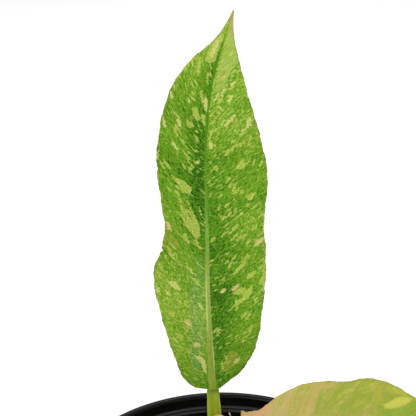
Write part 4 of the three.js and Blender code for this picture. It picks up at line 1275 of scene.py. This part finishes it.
def scatter_tree():
    """Geometry Nodes: rough crumbs scattered on a bed's faces, each of its own form."""
    tree = bpy.data.node_groups.new("scattered_crumbs", "GeometryNodeTree")
    inputs = [("Bed", "Geometry", None), ("Crumbs per Square Metre", "Float", 1000.0),
              ("Smallest", "Float", 0.0005), ("Largest", "Float", 0.002), ("Roughness", "Float", 0.5),
              ("Seed", "Int", 1), ("Finish", "Material", None)]
    sockets = {}
    for label, kind, default in inputs:
        socket = tree.interface.new_socket(label, in_out="INPUT", socket_type="NodeSocket" + kind)
        if default is not None:
            socket.default_value = default
        sockets[label] = socket.identifier
    tree.interface.new_socket("Crumbs", in_out="OUTPUT", socket_type="NodeSocketGeometry")
    given = tree.nodes.new("NodeGroupInput").outputs
    result = tree.nodes.new("NodeGroupOutput")
    points = add_node(tree, "GeometryNodeDistributePointsOnFaces",
                      {"Mesh": given["Bed"], "Density": given["Crumbs per Square Metre"],
                       "Seed": given["Seed"]})
    ball = add_node(tree, "GeometryNodeMeshUVSphere", {"Segments": 7, "Rings": 5, "Radius": 0.5})
    turn = add_node(tree, "FunctionNodeRandomValue", {"Seed": given["Seed"], "Max": [FULL_TURN] * 3},
                    data_type="FLOAT_VECTOR")
    size = add_node(tree, "FunctionNodeRandomValue",
                    {2: given["Smallest"], 3: given["Largest"], "Seed": given["Seed"]}, data_type="FLOAT")
    squash = add_node(tree, "FunctionNodeRandomValue", {"Seed": 5, "Min": [0.55] * 3, "Max": [1.1] * 3},
                      data_type="FLOAT_VECTOR")
    form = add_node(tree, "ShaderNodeVectorMath", {0: squash.outputs["Value"], "Scale": size.outputs[1]},
                    operation="SCALE")
    placed = add_node(tree, "GeometryNodeInstanceOnPoints",
                      {"Points": points.outputs["Points"], "Instance": ball.outputs["Mesh"],
                       "Rotation": turn.outputs["Value"], "Scale": form.outputs[0]})
    real = add_node(tree, "GeometryNodeRealizeInstances", {"Geometry": placed.outputs["Instances"]})
    position = add_node(tree, "GeometryNodeInputPosition")
    wobble = add_node(tree, "ShaderNodeTexNoise",
                      {"Vector": position.outputs[0], "Scale": 900.0, "Detail": 2.0})
    centred = add_node(tree, "ShaderNodeVectorMath", {0: wobble.outputs["Color"], 1: [0.5] * 3},
                       operation="SUBTRACT")
    reach = times(tree, given["Largest"], given["Roughness"])
    moved = add_node(tree, "ShaderNodeVectorMath", {0: centred.outputs[0], "Scale": reach},
                     operation="SCALE")
    shaped = add_node(tree, "GeometryNodeSetPosition",
                      {"Geometry": real.outputs["Geometry"], "Offset": moved.outputs[0]})
    finished = add_node(tree, "GeometryNodeSetMaterial",
                        {"Geometry": shaped.outputs["Geometry"], "Material": given["Finish"]})
    fill(tree, result.inputs["Crumbs"], finished.outputs["Geometry"])
    return tree, sockets


def scatter(crumbs, name, bed, density, smallest, largest, roughness, seed, finish):
    """Crumbs on a bed mesh, as a plain mesh piece. Density is by square metre, and sizes in metres."""
    tree, sockets = crumbs
    holder = add_object(name + "_bed", bed)
    modifier = holder.modifiers.new("scatter", "NODES")
    modifier.node_group = tree
    values = {"Crumbs per Square Metre": density, "Smallest": smallest, "Largest": largest,
              "Roughness": roughness, "Seed": seed, "Finish": finish}
    for label, value in values.items():
        modifier[sockets[label]] = value
    mesh = plain_mesh(holder, name)
    mark_sharp(mesh, degrees=60)
    add_piece(name, mesh, None)


def bed_mesh(name, reach, height, stretch=(0.0, 360.0)):
    """A ring from one radius to another, or a stretch of it in degrees, that crumbs lie on."""
    radii = np.linspace(*reach, BED_RINGS + 1)[:, None]
    turn = np.radians(np.linspace(*stretch, BED_SIDES + 1))
    points = turned(radii, turn, height(radii * np.cos(turn), radii * np.sin(turn)))
    return mesh_from(name, points.reshape(-1, 3), grid_faces(BED_RINGS, BED_SIDES, 0, True))


def stalk_path(base, leaf):
    """The stalk's path leaves the stem steeply and turns partly into the midrib's direction."""
    place, along, side, _ = (part[0] for part in midrib(leaf)(np.zeros(1)))
    a = np.array(base, float)
    d = place - along * GAP
    reach = np.linalg.norm(d - a) / 3
    straight = unit(d - a)
    b = a + np.array([0, 0, reach])
    c = d - unit(straight + (along - straight) * STALK_TURN) * reach

    def at(t):
        t = np.asarray(t, float)[..., None]
        inside = np.clip(t, 0, 1)
        left = 1 - inside
        point = left**3 * a + 3 * left**2 * inside * b + 3 * left * inside**2 * c + inside**3 * d
        tangent = unit(left**2 * (b - a) + 2 * left * inside * (c - b) + inside**2 * (d - c))
        forward = unit(tangent + (along - tangent) * np.clip(8 * inside - 7, 0, 1))
        across = unit(side - forward * (forward @ side)[..., None])
        return point + along * (t - inside) * 3 * reach, across, np.cross(forward, across)

    return at, 3 * reach


def stalk_mesh(name, base, leaf):
    """A stalk with a round back, a channel in its flatter front, and a wider foot."""
    path, length = stalk_path(base, leaf)
    into_blade = 1 + STALK_INTO_BLADE / length

    def section(t, turn):
        t = t * into_blade
        place, across, back = path(t)
        widen = smooth([(0, 1.2), (0.15, 1.12), (0.5, 1), (0.8, 0.97), (0.93, 0.86), (1, 0.8),
                        (into_blade, 0.4)], t)
        sine = np.sin(turn)
        channel = 0.16 * np.exp(-(np.cos(turn) / 0.34)**2)
        depth = np.where(sine > 0, sine, 0.72 * sine + 0.16 * sine**4 + channel * (t < 1))
        ridge = 1 + 0.012 * np.sin(9 * turn) + 0.008 * np.sin(17 * turn + 1)
        return (place + across * (STALK_HALF_WIDTH * widen * np.cos(turn) * ridge)[..., None]
                + back * (STALK_HALF_DEPTH * widen * depth * ridge)[..., None])

    def fields(t, turn):
        t = t * into_blade
        flank = ease(0.72, 0.97, np.abs(np.cos(turn))) * ease(0.4, 0, np.sin(turn))
        joint = np.exp(-((t - 1) * length / 0.9)**2)
        return {"along": t * length, "turn": 2.2 * np.sin(turn) + 4 * (np.cos(turn) > 0), "flank": flank,
                "joint": joint}

    return tube_mesh(name, section, fields, sides=72, steps=160)


def stem_mesh():
    """Short stem with the ring scars of fallen leaves above the soil."""
    def ring(t, turn):
        height = STEM_BOTTOM + t * (STEM_TOP - STEM_BOTTOM)
        above = np.maximum(0, height - SOIL_LEVEL - SOIL_MOUND - 1)
        return height, above, np.sin(1.3 * above + 0.6 * np.cos(turn)) * np.minimum(1, above)

    def section(t, turn):
        height, above, scar = ring(t, turn)
        groove = 0.16 * np.exp(-((scar - 0.75) / 0.16)**2)
        uneven = 0.10 * np.sin(3 * turn + 0.4 * height) + 0.05 * np.sin(11 * turn)
        shoulder = smooth([(0, 1), (0.9, 1), (0.96, 0.98), (1, 0.9)], t)
        radius = (STEM_RADIUS + 0.35 * scar - groove + uneven * np.minimum(1, above)) * shoulder
        return turned(radius, turn, height)

    def fields(t, turn):
        return {"scar": ease(0.35, 0.8, ring(t, turn)[2])}

    return tube_mesh("stem_skin", section, fields, sides=96, steps=200)


def new_leaf_mesh():
    """The new leaf is rolled round itself: its skin steps in at a seam that winds slowly up."""
    base, tip = np.array(NEW_LEAF_BASE), np.array(NEW_LEAF_TIP)
    widths = [(0, 0.72), (0.3, 0.86), (0.62, 1), (0.84, 1.05), (0.95, 0.96), (0.985, 0.74), (1, 0.42)]

    def seam_at(t, turn):
        height = np.sin(t * np.pi / 2)**0.8
        signed = np.where(turn > np.pi, turn - 2 * np.pi, turn)
        return height, (signed / (2 * np.pi) + 1.3 + 0.35 * height) % 1

    def section(t, turn):
        height, seam = seam_at(t, turn)
        lip = 0.16 * seam + 0.03 * np.exp(-((1 - seam) / 0.05)**2)
        radius = NEW_LEAF_RADIUS * smooth(widths, height) * (0.86 + lip)
        return base + (tip - base) * height[..., None] + turned(radius, turn, 0)

    def fields(t, turn):
        height, seam = seam_at(t, turn)
        return {"along": height * NEW_LEAF_LENGTH, "turn": 2.7 * turn, "seam": ease(0.1, 0.0, seam)}

    return tube_mesh("new_leaf_skin", section, fields, sides=120, steps=160)


def sheath_mesh():
    """The sheath wraps the right side of the upright leaf's stalk and narrows to a loose, bent tip."""
    path, length = stalk_path(STALK_BASE_UPRIGHT, UPRIGHT)
    distances = [(0, 3.4), (0.35, 3.9), (0.7, 5), (0.9, 5.5), (1, 4.7)]
    spans = [(0, 48), (0.4, 44), (0.75, 27), (0.93, 12), (1, 4)]
    t, u = np.meshgrid(np.linspace(0, 1, SHEATH_ROWS + 1), np.linspace(-1, 1, SHEATH_COLUMNS + 1),
                       indexing="ij")
    torn = 1 - 0.14 * np.abs(np.sin(23 * t + 2)) * ease(0.1, 0.5, t) - 0.06 * np.abs(np.sin(57 * t))
    turn = np.radians(smooth(spans, t)) * u * torn
    wrinkle = 0.12 * np.sin(2.6 * u * smooth(spans, t) / 9 + 3 * t) + 0.06 * np.sin(31 * t + 5 * u)
    radius = smooth(distances, t) + 0.15 + wrinkle * 0.7
    place = path(SHEATH_FOOT + (SHEATH_REACH - SHEATH_FOOT) * t)[0]
    points = [place + turned(radius + extra, turn, 0) for extra in (SHEATH_THICKNESS, 0)]
    fields = {"along": np.stack([t * length * SHEATH_REACH] * 2), "turn": np.stack([4 * turn] * 2)}
    return mesh_from("sheath_skin", np.reshape(points, (-1, 3)), plate_faces(SHEATH_ROWS, SHEATH_COLUMNS),
                     fields)


def make_stage(material):
    floor = bpy.data.meshes.new("studio_floor")
    corners = [(-1, -1), (1, -1), (1, 1), (-1, 1)]
    floor.from_pydata([(FLOOR_HALF * x, FLOOR_HALF * y, 0) for x, y in corners], [], [(0, 1, 2, 3)])
    floor.materials.append(material)
    add_object("studio_floor", floor)


def add_softbox(name, place, target, size, power):
    lamp = bpy.data.lights.new(name, "AREA")
    lamp.shape = "DISK"
    lamp.size = size
    lamp.energy = power
    softbox = add_object(name, lamp)
    softbox.location = place
    softbox.rotation_euler = (Vector(target) - Vector(place)).to_track_quat("-Z", "Y").to_euler()


def light_studio():
    scene.view_settings.view_transform = "Standard"
    world = bpy.data.worlds.new("studio")
    world.use_nodes = True
    sky = world.node_tree.nodes["Background"].inputs
    sky["Color"].default_value = (1, 1, 1, 1)
    sky["Strength"].default_value = 0.6
    scene.world = world
    add_softbox("overhead", place=(0.1, 0.3, 1.6), target=(0, 0.2, 0), size=1.6, power=20)
    add_softbox("front_left", place=(-0.7, -1.0, 0.9), target=(0, 0, 0.18), size=0.8, power=5)


soil_finish = soil_material()
make_pot(plastic_material())
make_soil(soil_finish)
add_piece("bark_chips", chip_mesh(), bark_material())
crumbs = scatter_tree()
scatter(crumbs, "peat_crumbs", bed_mesh("peat_bed", PEAT_BED, soil_height),
        density=120000.0, smallest=0.0006, largest=0.0022, roughness=0.7, seed=3, finish=soil_finish)
scatter(crumbs, "perlite_grains", bed_mesh("perlite_bed", PERLITE_BED, soil_height),
        density=6000.0, smallest=0.0009, largest=0.0027, roughness=0.8, seed=12,
        finish=perlite_material())
scatter(crumbs, "ledge_crumbs", bed_mesh("ledge_bed", LEDGE_BED, lambda x, y: LEDGE_HEIGHT, LEDGE_TURN),
        density=1200000.0, smallest=0.0004, largest=0.0011, roughness=0.7, seed=8, finish=soil_finish)
add_piece("ringed_stem", stem_mesh(), stem_material(), "stem")
add_piece("upright_stalk", stalk_mesh("upright_stalk", STALK_BASE_UPRIGHT, UPRIGHT),
          stalk_material("yellow_green_stalk", (136, 160, 14), (176, 186, 80), (178, 164, 66),
                         (84, 116, 0)), "petiole_upright")
add_piece("right_stalk", stalk_mesh("right_stalk", STALK_BASE_RIGHT, RIGHT),
          stalk_material("peach_green_stalk", (150, 152, 56), (186, 168, 96), (204, 150, 92),
                         (150, 124, 56)), "petiole_right")
add_piece("upright_blade", blade_mesh("upright_blade", UPRIGHT, UPRIGHT_MARKS),
          blade_material("variegated_green_blade", GREEN_LOOK), "blade_upright")
add_piece("peach_blade", blade_mesh("peach_blade", RIGHT, RIGHT_MARKS),
          blade_material("variegated_peach_blade", PEACH_LOOK), "blade_right")
add_piece("rolled_leaf", new_leaf_mesh(), new_leaf_material(), "new_leaf")
add_piece("papery_sheath", sheath_mesh(), sheath_material(), "dry_sheath")
make_stage(stage_material())
light_studio()
